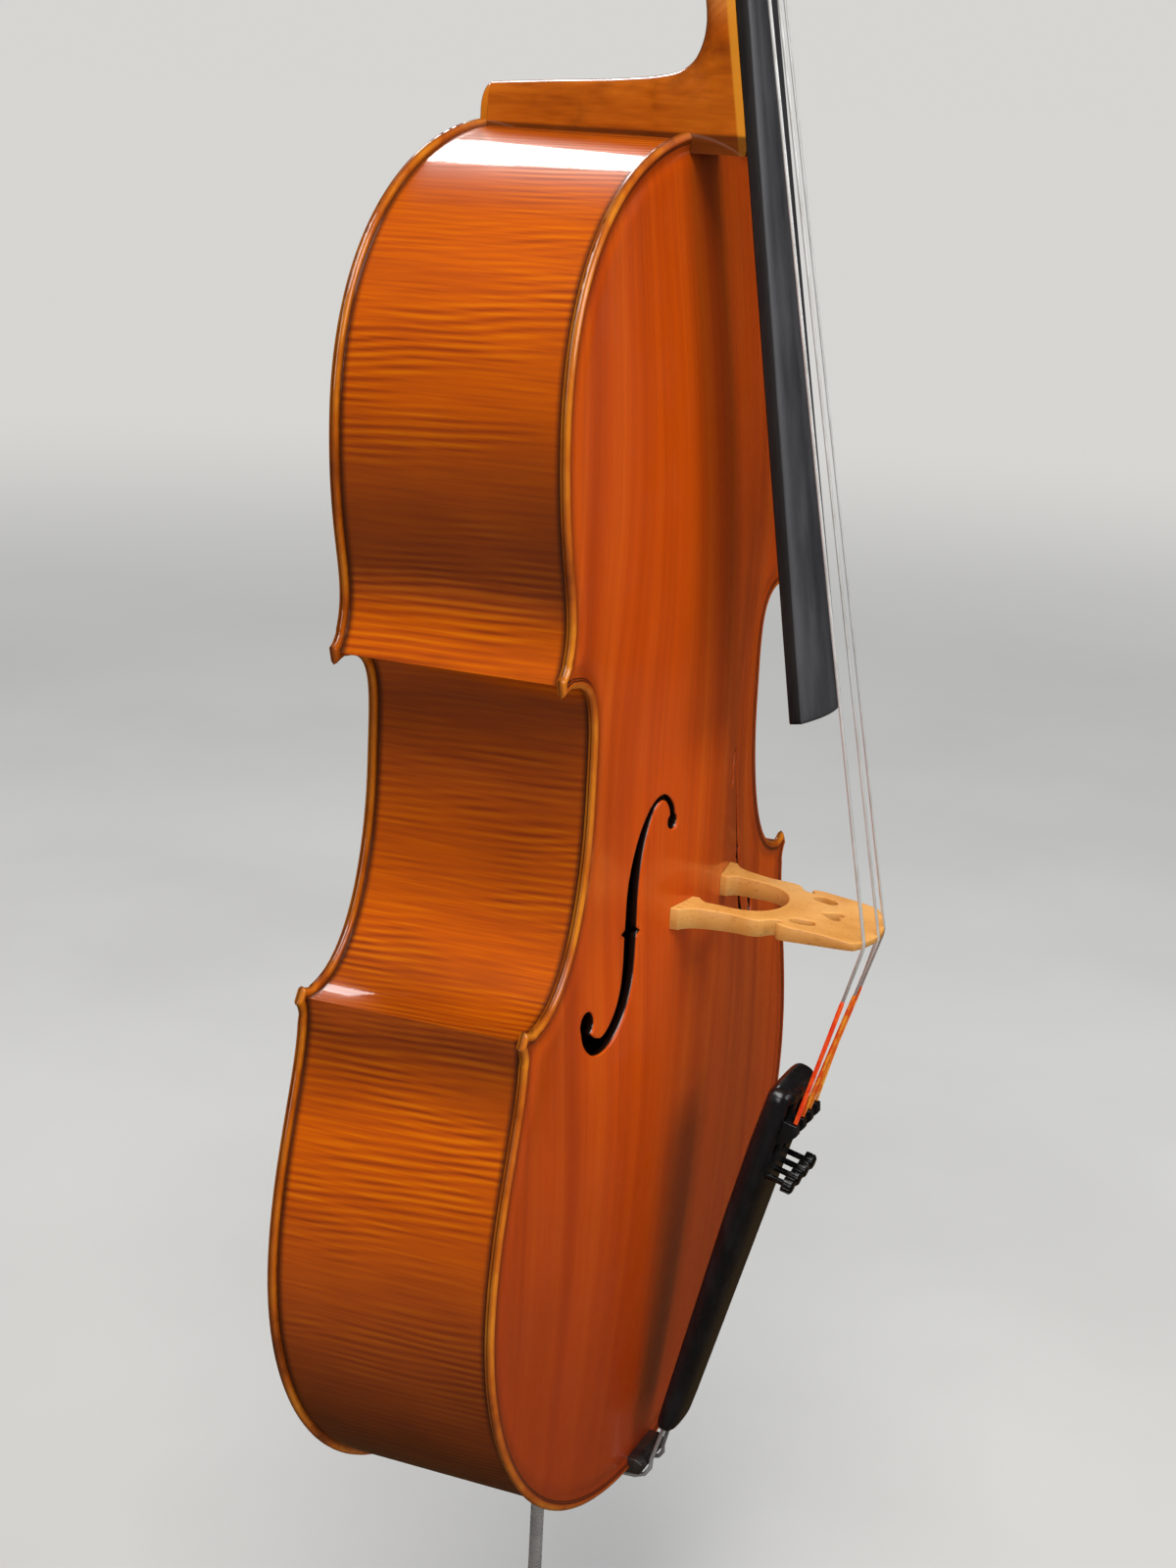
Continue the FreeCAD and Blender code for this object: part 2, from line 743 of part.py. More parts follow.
def string_core(name, margin, first):
    """String as straight round lengths, starting from the given point of its path."""
    radius = string_table[name][0] + margin
    path = string_path(name)[first:]
    pieces = [rod_between(a, b, radius) for a, b in zip(path, path[1:])]
    joints = [Part.makeSphere(radius, p) for p in path[1:-1]]
    return pieces[0].fuse(pieces[1:] + joints)


def string(name):
    return string_core(name, 0, 0)


def winding(name):
    """Turns of string wound on the peg."""
    radius = string_table[name][0]
    u, n, side = peg_centre(name)
    loops = []
    for k in range(coil_turns):
        x = coil_start(name) - side * k * radius * 1.96
        loops.append(Part.makeTorus(winding_radius(name), radius, vec(x, u, n), vec(1, 0, 0)))
    return from_neck(loops[0].fuse(loops[1:]))


# ---- bridge ----
def bridge_half_edges(side):
    """Outer edge of one half of the bridge, from the arch centre round the foot to the crown."""
    def edge(*points):
        return curve_xy([(side * x, h) for x, h in points])

    end = bridge_crown_at(side * 29)
    return [
        edge((0, 128.5), (13.5, 128.5), (24.8, 120), (24.8, 104)),
        edge((24.8, 104), (24.8, 99), (25.4, 95), (25.2, 92)),
        edge((25.2, 92), (24.6, 89.5), (22.5, 88), (20.6, 87)),
        edge((20.6, 87), (21.5, 70)),
        edge((21.5, 70), (bridge_foot_half, 70)),
        edge((bridge_foot_half, 70), (bridge_foot_half, 84)),
        edge((bridge_foot_half, 84), (42, 86), (38, 89.5), (36.8, 97)),
        edge((36.8, 97), (35.4, 104), (34.2, 109), (34.8, 115)),
        edge((34.8, 115), (35.6, 120.5), (34.8, 125.5), (31.2, 127.5)),
        edge((31.2, 127.5), (28, 129), (26.2, 131.5), (26.6, 135.2)),
        edge((26.6, 135.2), (27.6, 136.6), (29.4, 135.2), (30.6, 133.2)),
        edge((30.6, 133.2), (33.2, 134.6), (33.6, 138.5), (33, 143)),
        edge((33, 143), (31.8, 152), (31.6, 160), (30.8, 168)),
        edge((30.8, 168), (30.7, 170), (30.2, end - 1.5), (29, end)),
    ]


def curve_xy(points):
    poles = [vec(x, -h, 0) for x, h in points]
    if len(poles) == 2:
        return Part.makeLine(poles[0], poles[1])
    bezier = Part.BezierCurve()
    bezier.setPoles(poles)
    return bezier.toShape()


def bridge_cutouts():
    bars = []
    for side in (-1, 1):
        low = vec(side * 20.8, -141.6, 330)
        high = vec(side * 19.4, -147.6, 330)
        across = (high - low).normalize().cross(vec(0, 0, 1)) * 3.9
        corners = [low + across, high + across, high - across, low - across]
        slot = Part.Face(Part.makePolygon(corners + corners[:1])).extrude(vec(0, 0, 40))
        bars += [slot, Part.makeCylinder(3.9, 40, low), Part.makeCylinder(3.9, 40, high)]
        bars.append(Part.makeCylinder(3.1, 40, vec(side * 3.2, -157.3, 330)))
    tip = [vec(-5.9, -155.8, 330), vec(0, -147.5, 330), vec(5.9, -155.8, 330), vec(0, -158.5, 330)]
    bars.append(Part.Face(Part.makePolygon(tip + tip[:1])).extrude(vec(0, 0, 40)))
    return bars


def bridge():
    left = vec(-29, -bridge_crown_at(-29), 0)
    right = vec(29, -bridge_crown_at(29), 0)
    crown = Part.Arc(left, vec(0, -bridge_crown, 0), right).toShape()
    face = Part.Face(Part.Wire(Part.__sortEdges__(bridge_half_edges(1) + bridge_half_edges(-1) + [crown])))
    face.translate(vec(0, 0, bridge_back))
    blank = face.extrude(vec(0, 0, 20))
    wedge = side_polygon([(-60, bridge_back - 1), (-60, bridge_foot_front + 0.6), (-84, bridge_foot_front),
                          (-130, bridge_waist_front), (-160, 352.6), (-186, bridge_top_front),
                          (-186, bridge_back - 1)], 60)
    shape = blank.common(wedge).cut(bridge_cutouts() + [top_layer(-glue, 60)])
    return shape.cut([string_core(name, peg_fit, 0) for name in string_table])


# ---- tailpiece frame: x across, t towards the bridge, n away from the body ----
def from_tail(shape):
    shape = shape.copy()
    rotation = FreeCAD.Rotation(vec(1, 0, 0), tail_angle)
    shape.Placement = FreeCAD.Placement(vec(*tail_origin), rotation).multiply(shape.Placement)
    return shape


def tail_point(x, t, n):
    return FreeCAD.Rotation(vec(1, 0, 0), tail_angle).multVec(vec(x, t, n)) + vec(*tail_origin)


def tail_profile(points, half_width, centre=0.0):
    corners = [vec(centre - half_width, t, n) for t, n in points]
    return Part.Face(Part.makePolygon(corners + corners[:1])).extrude(vec(2 * half_width, 0, 0))


def tailpiece():
    half = [(0, 0), (11, 0), (14.5, 2), (16.5, 6), (26.5, 200), (26, 215), (22.5, tail_length - 3), (20, tail_length)]
    plan = [vec(x, t, -10) for x, t in half] + [vec(-x, t, -10) for x, t in reversed(half[1:])]
    plan_solid = Part.Face(Part.makePolygon(plan + plan[:1])).extrude(vec(0, 0, 60))
    end = tail_length
    side = [(0, 2), (2, 0), (150, -1.5), (200, -1), (end - 1, 0), (end, 2), (end, 12), (end - 3, 16),
            (214, 16), (196, 15.8), (160, 15.4), (120, 14.6), (20, 12.6), (3, 11.5)]
    blank = tail_profile(side, 30).common(plan_solid)
    arch = Part.makeCylinder(62, 260, vec(0, -5, -45.5), vec(0, 1, 0))
    blank = blank.common(arch)
    cutters = []
    slot = [(158, -5), (158, 7.5), (175, 9), (196, 9), (196, 30), (229, 30), (229, -5)]
    for row in string_table.values():
        x = row[3]
        cutters.append(tail_profile(slot, tail_slot_half, x))
        screw_foot = vec(x, tuner_screw_at, 0)
        cutters.append(Part.makeCylinder(tuner_screw_radius + running, 40, screw_foot, vec(0, 0, 1)))
        pin_end = vec(x - 5, tuner_pivot[0], tuner_pivot[1])
        cutters.append(Part.makeCylinder(tuner_pin_radius + 0.02, 10, pin_end, vec(1, 0, 0)))
    for side_sign in (-1, 1):
        cutters.append(Part.makeCylinder(1.6, 40, vec(side_sign * 6.5, -5, 4.2), vec(0, 1, 0)))
    return from_tail(blank.cut(cutters))


def tuner_lever(name):
    x = string_table[name][3]
    t, n = tuner_pivot
    side = [(t - 34, n - 2.6), (t - 34, n - 0.4), (t - 12, n + 0.8), (t - 9, n + 6), (t - 5.5, n + 12),
            (t + 0.5, n + 15.5), (t + 5.5, n + 13.8), (t + 5.5, n + 4), (t + 4.5, n - 4), (t - 5, n - 4.5)]
    lever = tail_profile(side, lever_half, x)
    pin_hole = Part.makeCylinder(tuner_pin_radius + running, 12, vec(x - 6, t, n), vec(1, 0, 0))
    return from_tail(lever.cut(pin_hole))


def tuner_pins():
    t, n = tuner_pivot
    pins = [Part.makeCylinder(tuner_pin_radius, 9.8, vec(row[3] - 4.9, t, n), vec(1, 0, 0))
            for row in string_table.values()]
    return from_tail(Part.makeCompound(pins))


def tuner_tip(name):
    x = string_table[name][3]
    rest = tuner_pivot[1] + 0.2
    return from_tail(Part.makeCylinder(tuner_screw_radius, 1.2, vec(x, tuner_screw_at, rest), vec(0, 0, 1)))


def tuner_screw(name):
    x = string_table[name][3]
    rest = tuner_pivot[1] + 1.45
    shaft = Part.makeCylinder(tuner_screw_radius, 17, vec(x, tuner_screw_at, rest), vec(0, 0, 1))
    knob_at = rest + 15
    knob = Part.makeCylinder(4.6, 5.0, vec(x, tuner_screw_at, knob_at), vec(0, 0, 1))
    cap = Part.makeCone(4.6, 3.2, 1.2, vec(x, tuner_screw_at, knob_at + 5), vec(0, 0, 1))
    flutes = []
    for k in range(12):
        angle = 2 * math.pi * k / 12
        across = x + 4.7 * math.cos(angle)
        up = tuner_screw_at + 4.7 * math.sin(angle)
        flutes.append(Part.makeCylinder(0.55, 8, vec(across, up, knob_at - 1), vec(0, 0, 1)))
    return from_tail(shaft.fuse([knob, cap]).cut(flutes))


def saddle():
    inner = -rib_half - glue
    profile = [(inner, -0.5), (inner, 9.0), (-68, 9.0), (-71.5, 6.5), (-72.5, 3.0), (-70, -0.5)]
    return side_polygon(profile, 18.0)


def tail_wire():
    """Cable from the tailpiece over the saddle and round the endpin collar."""
    radius = 1.2
    loops = []
    for side in (-1, 1):
        path = [tail_point(side * 6.5, 14, 4.2), tail_point(side * 6.5, -2, 4.2), vec(side * 9, -74.2, 6.5),
                vec(side * 10, -74.1, 1.5), vec(side * 11, -71.2, -2.8), vec(side * 12, -66, -4.6),
                vec(side * 17.6, 0, -4.6)]
        for a, b in zip(path, path[1:]):
            loops.append(rod_between(a, b, radius))
        loops += [Part.makeSphere(radius, p) for p in path[1:]]
    bend = Part.makeTorus(17.6, radius, vec(0, 0, -4.6), vec(0, 0, 1))
    behind = Part.makeBox(60, 40, 10, vec(-30, 0, -10))
    loops.append(bend.common(behind))
    return loops[0].fuse(loops[1:])


# ---- endpin ----
def endpin_socket():
    plug = endpin_taper(0).common(Part.makeBox(60, 60, 42, vec(-30, -30, -2)))
    flange = Part.makeCylinder(socket_flange_radius, 5.3, vec(0, 0, -2), vec(0, 0, 1))
    neck = Part.makeCylinder(14.0, 6.0, vec(0, 0, ferrule_top + glue), vec(0, 0, 1))
    bore = Part.makeCylinder(rod_radius + running, 100, vec(0, 0, -50), vec(0, 0, 1))
    return plug.fuse([flange, neck]).cut(bore)


def endpin_ferrule():
    height = ferrule_top - ferrule_bottom
    tube = Part.makeCylinder(ferrule_radius, height, vec(0, 0, ferrule_bottom), vec(0, 0, 1))
    bore = Part.makeCylinder(rod_radius + running, 40, vec(0, 0, -30), vec(0, 0, 1))
    thread = Part.makeCylinder(2.5 + running, 20, vec(0, 0, clamp_height), vec(1, 0, 0))
    return tube.cut([bore, thread])


def endpin_rod():
    tip = -floor_gap
    cone = Part.makeCone(0.4, rod_spigot_radius, 8, vec(0, 0, tip), vec(0, 0, 1))
    spigot = Part.makeCylinder(rod_spigot_radius, rod_spigot_length, vec(0, 0, tip + 8), vec(0, 0, 1))
    shaft = Part.makeCylinder(rod_radius, rod_length - 22, vec(0, 0, tip + 22), vec(0, 0, 1))
    return cone.fuse([spigot, shaft])


def clamp_pad():
    return Part.makeCylinder(2.4, 1.6, vec(rod_radius + 0.6, 0, clamp_height), vec(1, 0, 0))


def clamp_screw():
    start = rod_radius + 0.6 + 1.6 + glue
    shaft = Part.makeCylinder(2.5, 22 - start, vec(start, 0, clamp_height), vec(1, 0, 0))
    hub = Part.makeCylinder(5.0, 4, vec(17, 0, clamp_height), vec(1, 0, 0))
    wing = Part.makeCylinder(9.0, 4.0, vec(27, 0, clamp_height - 2.0), vec(0, 0, 1))
    stem = Part.makeBox(6, 7, 3.6, vec(20, -3.5, clamp_height - 1.8))
    return shaft.fuse([hub, wing, stem])


def all_parts():
    shapes = {
        "top_plate": top_plate(),
        "back_plate": back_plate(),
        "top_purfling": top_purfling(),
        "back_purfling": back_purfling(),
        "linings_top": linings(True),
        "linings_back": linings(False),
        "top_block": top_block(),
        "bottom_block": bottom_block(),
        "corner_blocks": corner_blocks(),
        "bass_bar": bass_bar(),
        "sound_post": sound_post(),
        "neck_and_scroll": neck_and_scroll(),
        "fingerboard": fingerboard(),
        "nut": nut(),
        "bridge": bridge(),
        "saddle": saddle(),
        "tailpiece": tailpiece(),
        "tail_wire": tail_wire(),
        "tuner_pins": tuner_pins(),
        "endpin_socket": endpin_socket(),
        "endpin_ferrule": endpin_ferrule(),
        "endpin_rod": endpin_rod(),
        "clamp_pad": clamp_pad(),
        "clamp_screw": clamp_screw(),
    }
    for side, side_name in ((-1, "bass"), (1, "treble")):
        for bout in ("upper", "centre", "lower"):
            shapes["rib_" + bout + "_" + side_name] = rib(bout, side)
    for name in string_table:
        shapes["peg_" + name] = peg(name)
        shapes["string_" + name] = string(name)
        shapes["winding_" + name] = winding(name)
        shapes["tuner_lever_" + name] = tuner_lever(name)
        shapes["tuner_tip_" + name] = tuner_tip(name)
        shapes["tuner_screw_" + name] = tuner_screw(name)
    return shapes


os.makedirs("parts", exist_ok=True)
for node, shape in all_parts().items():
    solids = shape.Solids
    placed = solids[0] if len(solids) == 1 else Part.makeCompound(solids)
    placed.translate(vec(0, 0, floor_gap))
    placed.exportStep("parts/" + node + ".step")
    print(node, len(solids), round(placed.Volume), placed.isValid())
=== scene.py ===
import math

import bmesh
import bpy
import numpy as np
from mathutils import Matrix, Vector
from mathutils.geometry import delaunay_2d_cdt

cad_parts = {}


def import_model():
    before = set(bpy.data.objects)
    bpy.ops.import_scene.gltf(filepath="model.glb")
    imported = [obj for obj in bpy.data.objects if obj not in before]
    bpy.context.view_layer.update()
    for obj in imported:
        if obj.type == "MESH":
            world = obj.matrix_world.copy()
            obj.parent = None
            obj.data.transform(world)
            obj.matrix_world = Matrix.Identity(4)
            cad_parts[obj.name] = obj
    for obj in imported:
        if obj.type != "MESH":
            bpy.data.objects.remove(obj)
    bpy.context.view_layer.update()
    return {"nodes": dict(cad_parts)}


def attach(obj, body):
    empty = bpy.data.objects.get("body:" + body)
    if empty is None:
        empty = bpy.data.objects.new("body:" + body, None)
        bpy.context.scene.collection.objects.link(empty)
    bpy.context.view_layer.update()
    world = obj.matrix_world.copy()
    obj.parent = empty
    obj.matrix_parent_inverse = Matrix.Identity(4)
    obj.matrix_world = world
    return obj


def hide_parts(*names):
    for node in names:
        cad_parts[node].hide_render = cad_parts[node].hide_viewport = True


# A cello.  Shapes below are worked out in millimetres with z = 0 at the bottom
# edge of the body; LIFT puts them in the row frame, which starts at the floor.

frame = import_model()
LIFT = 260.0
BODY = "cello_body"

# ---- dimensions shared by several pieces ----
BODY_LENGTH = 755.0
RIB_HALF = 59.0
PLATE = 4.5
OVERHANG = 3.5
TOP_RISE = 20.5
BACK_RISE = 24.0
BEAK_WIDTH = 1.5
BEAK_REACH = 2.4
NECK_ANGLE = math.radians(80.89)
GLUE_Y = -41.2
NUT_Z = 1035.0
TAIL_ANGLE = math.radians(104.04)
TAIL_ORIGIN = (0.0, -76.0, 30.0)
STRINGS = {
    "c": (0.95, -11.25, -23.0, -18.0),
    "g": (0.75, -3.75, -7.7, -6.0),
    "d": (0.55, 3.75, 7.7, 6.0),
    "a": (0.40, 11.25, 23.0, 18.0),
}
PEGS = {"c": (28.0, -1), "a": (56.0, 1), "g": (86.0, -1), "d": (114.0, 1)}


# ======================= small helpers =======================
def heading(degrees):
    angle = math.radians(degrees)
    return np.array([math.cos(angle), math.sin(angle)])


def bezier(poles, count):
    t = np.linspace(0, 1, count)[:, None]
    p = [np.array(q, float) for q in poles]
    return (1 - t) ** 3 * p[0] + 3 * (1 - t) ** 2 * t * p[1] + 3 * (1 - t) * t * t * p[2] + t ** 3 * p[3]


def even(points, spacing):
    """Points re-spaced evenly along a polyline, ends kept."""
    points = np.asarray(points, float)
    length = np.r_[0, np.cumsum(np.linalg.norm(np.diff(points, axis=0), axis=1))]
    count = max(2, int(round(length[-1] / spacing)) + 1)
    at = np.linspace(0, length[-1], count)
    return np.stack([np.interp(at, length, points[:, k]) for k in range(points.shape[1])], 1)


def smooth_line(points, per_step=12):
    """Smooth curve through the given points."""
    p = np.asarray(points, float)
    p = np.vstack([2 * p[0] - p[1], p, 2 * p[-1] - p[-2]])
    out = []
    for a, b, c, d in zip(p, p[1:], p[2:], p[3:]):
        t = np.linspace(0, 1, per_step, endpoint=False)[:, None]
        out.append(0.5 * (2 * b + (c - a) * t + (2 * a - 5 * b + 4 * c - d) * t ** 2 + (3 * b - a - 3 * c + d) * t ** 3))
    out.append(p[-2][None])
    return np.vstack(out)


def ease(t):
    t = np.clip(t, 0, 1)
    return t * t * (3 - 2 * t)


def piece(name, verts, faces, material, body=BODY, replaces=(), smooth=True, flow=None, lift=True,
          sharp=None):
    """Mesh in millimetres made into an object that rides on a body."""
    verts = np.asarray(verts, float).reshape(-1, 3).copy()
    if lift:
        verts[:, 2] += LIFT
    mesh = bpy.data.meshes.new(name)
    mesh.from_pydata((verts * 0.001).tolist(), [], [tuple(int(i) for i in f) for f in faces])
    mesh.validate()
    if flow is not None:
        layer = mesh.attributes.new("flow", "FLOAT_VECTOR", "POINT")
        layer.data.foreach_set("vector", np.asarray(flow, np.float32).ravel())
    mesh.materials.append(material)
    mesh.update()
    obj = bpy.data.objects.new(name, mesh)
    bpy.context.scene.collection.objects.link(obj)
    if smooth:
        mesh.shade_smooth()
    if sharp is not None:
        mark_sharp(mesh, sharp)
    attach(obj, body)
    if replaces:
        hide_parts(*replaces)
    return obj


def mark_sharp(mesh, degrees):
    """Edges that turn more than the given angle are drawn sharp."""
    work = bmesh.new()
    work.from_mesh(mesh)
    limit = math.radians(degrees)
    for edge in work.edges:
        if len(edge.link_faces) == 2 and edge.calc_face_angle(0.0) > limit:
            edge.smooth = False
    work.to_mesh(mesh)
    work.free()


def grid_faces(rows, columns, close_rows=False, close_columns=False, flip=False):
    faces = []
    for i in range(rows if close_rows else rows - 1):
        for k in range(columns if close_columns else columns - 1):
            a = i * columns + k
            b = i * columns + (k + 1) % columns
            c = ((i + 1) % rows) * columns + (k + 1) % columns
            d = ((i + 1) % rows) * columns + k
            faces.append((d, c, b, a) if flip else (a, b, c, d))
    return faces


def tube(path, radii, sides=12, caps=True):
    """Round bar along a path; returns vertices, faces and the run along it."""
    path = np.asarray(path, float)
    radii = np.broadcast_to(np.asarray(radii, float), (len(path),))
    along = np.gradient(path, axis=0)
    along /= np.linalg.norm(along, axis=1)[:, None]
    ref = np.array([1.0, 0, 0]) if abs(along[0][0]) < 0.9 else np.array([0, 1.0, 0])
    side = ref - along[0] * ref.dot(along[0])
    side /= np.linalg.norm(side)
    verts = []
    flow = []
    run = np.r_[0, np.cumsum(np.linalg.norm(np.diff(path, axis=0), axis=1))]
    for p, d, r, s in zip(path, along, radii, run):
        side = side - d * side.dot(d)
        side /= np.linalg.norm(side)
        other = np.cross(d, side)
        for k in range(sides):
            a = 2 * math.pi * k / sides
            verts.append(p + r * (math.cos(a) * side + math.sin(a) * other))
            flow.append((s, r * a, 0))
    faces = grid_faces(len(path), sides, close_columns=True)
    if caps:
        faces.append(tuple(range(sides - 1, -1, -1)))
        faces.append(tuple(range((len(path) - 1) * sides, len(path) * sides)))
    return np.array(verts), faces, np.array(flow)


def lathe(profile, centre, axis, sides=32):
    """Turned shape: profile is (distance along axis, radius) pairs."""
    axis = np.asarray(axis, float) / np.linalg.norm(axis)
    ref = np.array([0, 0, 1.0]) if abs(axis[2]) < 0.9 else np.array([1.0, 0, 0])
    u = np.cross(axis, ref)
    u /= np.linalg.norm(u)
    v = np.cross(axis, u)
    verts = []
    flow = []
    for t, r in profile:
        for k in range(sides):
            a = 2 * math.pi * k / sides
            verts.append(np.asarray(centre, float) + axis * t + r * (math.cos(a) * u + math.sin(a) * v))
            flow.append((t, r * a, r))
    return np.array(verts), grid_faces(len(profile), sides, close_columns=True), np.array(flow)


def join(*parts):
    """Several (vertices, faces, flow) sets as one."""
    verts, faces, flow = [], [], []
    base = 0
    for v, f, w in parts:
        verts.append(np.asarray(v, float))
        faces += [tuple(i + base for i in g) for g in f]
        flow.append(np.asarray(w, float))
        base += len(v)
    return np.vstack(verts), faces, np.vstack(flow)


def inside(points, polygon):
    x, y = points[:, 0], points[:, 1]
    result = np.zeros(len(points), bool)
    for (x0, y0), (x1, y1) in zip(polygon, np.roll(polygon, -1, axis=0)):
        if y0 == y1:
            continue
        cross = ((y0 > y) != (y1 > y)) & (x < (x1 - x0) * (y - y0) / (y1 - y0) + x0)
        result ^= cross
    return result


def distance_to(points, polygon, closed=True):
    """Distance from each point to a polyline."""
    a = np.asarray(polygon, float)
    b = np.roll(a, -1, axis=0)
    if not closed:
        a, b = a[:-1], b[:-1]
    ab = b - a
    size = (ab ** 2).sum(1) + 1e-12
    best = np.full(len(points), 1e9)
    for start in range(0, len(points), 2000):
        p = points[start:start + 2000]
        t = np.clip(((p[:, None] - a) * ab).sum(2) / size, 0, 1)
        d = np.linalg.norm(p[:, None] - (a + t[..., None] * ab), axis=2)
        best[start:start + 2000] = d.min(1)
    return best


# ======================= outline of the body =======================
def outline_pieces():
    """Right half of the outline as (name, points) from bottom centre to top centre."""
    up = np.array([0.0, 1.0])
    widest, waist, upper = np.array([219.0, 186.0]), np.array([123.1, 434.2]), np.array([170.7, 617.5])
    low_corner, high_corner = np.array([193.4, 325.8]), np.array([164.0, 502.9])
    low_tip = low_corner + 6.8 * np.array([-math.sin(math.radians(32.2)), math.cos(math.radians(32.2))])
    high_tip = high_corner + 6.9 * np.array([-math.sin(math.radians(17.7)), -math.cos(math.radians(17.7))])
    low_dir, waist_in, up_dir = heading(72.2), heading(6.6), heading(57.7)
    waist_out = np.array([math.cos(math.radians(2.1)), -math.sin(math.radians(2.1))])
    leave = np.array([-up_dir[0], up_dir[1]])
    lower = np.vstack([
        bezier([(0, 0), (125.8, 0), widest - 96.3 * up, widest], 400),
        bezier([widest, widest + 63.5 * up, low_corner - 28.9 * low_dir, low_corner], 200)[1:],
    ])
    centre = np.vstack([
        bezier([low_tip, low_tip - 48.2 * waist_in, waist - 49.6 * up, waist], 200),
        bezier([waist, waist + 39.6 * up, high_tip - 43.7 * waist_out, high_tip], 200)[1:],
    ])
    top = np.vstack([
        bezier([high_corner, high_corner + 36.8 * leave, upper - 69.3 * up, upper], 200),
        bezier([upper, upper + 96.2 * up, (85.2, BODY_LENGTH), (0, BODY_LENGTH)], 300)[1:],
    ])
    return lower, centre, top


def flip_x(points):
    return points[::-1] * np.array([-1.0, 1.0])


def outline_loop(spacing):
    lower, centre, top = (even(p, spacing) for p in outline_pieces())
    tip_low = even(np.vstack([lower[-1], centre[0]]), spacing / 2)[1:-1]
    tip_high = even(np.vstack([centre[-1], top[0]]), spacing / 2)[1:-1]
    right = np.vstack([lower, tip_low, centre, tip_high, top])
    return np.vstack([right, flip_x(right)[1:-1]])


def inward(loop):
    along = np.roll(loop, -1, axis=0) - np.roll(loop, 1, axis=0)
    along /= np.linalg.norm(along, axis=1)[:, None]
    return np.stack([-along[:, 1], along[:, 0]], 1)


def corner_flare(bout_end, waist_end, bout_way, waist_way):
    """Plan of one flared plate corner, from the bout round its flat end to the waist."""
    along = (waist_end - bout_end) / np.linalg.norm(waist_end - bout_end)
    out = np.array([abs(along[1]), -along[0] * np.sign(along[1])])
    bout_tip = bout_end - BEAK_WIDTH * along + BEAK_REACH * out
    waist_tip = waist_end + BEAK_WIDTH * along + BEAK_REACH * out
    bout_root = bout_end - 8.0 * bout_way
    waist_root = waist_end - 9.0 * waist_way
    first = bezier([bout_root, bout_root + 5.0 * bout_way, bout_tip - 3.0 * out, bout_tip], 60)
    last = bezier([waist_tip, waist_tip - 3.0 * out, waist_root + 5.0 * waist_way, waist_root], 60)
    return np.vstack([even(first, 1.3), even(np.array([bout_tip, waist_tip]), 1.3)[1:], even(last, 1.3)[1:]])


def plate_loop(spacing):
    """Outline of the plates, with a flared beak at every corner."""
    lower, centre, top = outline_pieces()
    low = corner_flare(lower[-1], centre[0], heading(72.2), heading(6.6))
    down = math.radians(2.1)
    high = corner_flare(top[0], centre[-1], np.array([0.534, -0.845]), np.array([math.cos(down), -math.sin(down)]))
    lower = lower[np.linalg.norm(lower - lower[-1], axis=1) > 9.2]
    waist = np.linalg.norm(centre - centre[0], axis=1) > 10.2
    centre = centre[waist & (np.linalg.norm(centre - centre[-1], axis=1) > 10.2)]
    top = top[np.linalg.norm(top - top[0], axis=1) > 9.2]
    right = np.vstack([even(lower, spacing), low, even(centre, spacing), high[::-1], even(top, spacing)])
    return np.vstack([right, flip_x(right)[1:-1]])


OUTLINE = plate_loop(2.6)


def tilt(z):
    """How far the top leans back towards the neck."""
    return 6.5 * np.maximum(0, (z - 480.0) / 275.0) ** 2


ARCH_EDGE = np.vstack([
    bezier([(0, 0), (124, 0), (218, 86), (218, 186)], 200),
    bezier([(218, 186), (218, 290), (121, 330), (121, 433)], 200),
    bezier([(121, 433), (121, 500), (170.5, 540), (170.5, 617)], 200),
    bezier([(170.5, 617), (170.5, 713), (86, 755), (0, 755)], 200),
])


def arch(x, z, rise):
    width = np.maximum(np.interp(z, ARCH_EDGE[:, 1], ARCH_EDGE[:, 0]) - 10.0, 1e-3)
    across = np.minimum(np.abs(x) / width, 1.0)
    along = np.minimum(np.abs(z - 377.0) / 367.0, 1.0)
    return rise * (1 - along ** 2.6) ** 1.3 * (1 - across ** 2) ** 2


def edge_shape(d):
    """Rounded rim, raised edge and the shallow channel beside the purfling."""
    k = np.clip((2.6 - d) / 2.6, 0, 1)
    drop = 2.25 * (1 - np.sqrt(np.maximum(0, 1 - k * k)))
    raised = 0.5 * np.exp(-((d - 3.0) / 1.3) ** 2)
    channel = -1.15 * np.exp(-((d - 8.8) / 4.2) ** 2)
    return raised + channel - drop


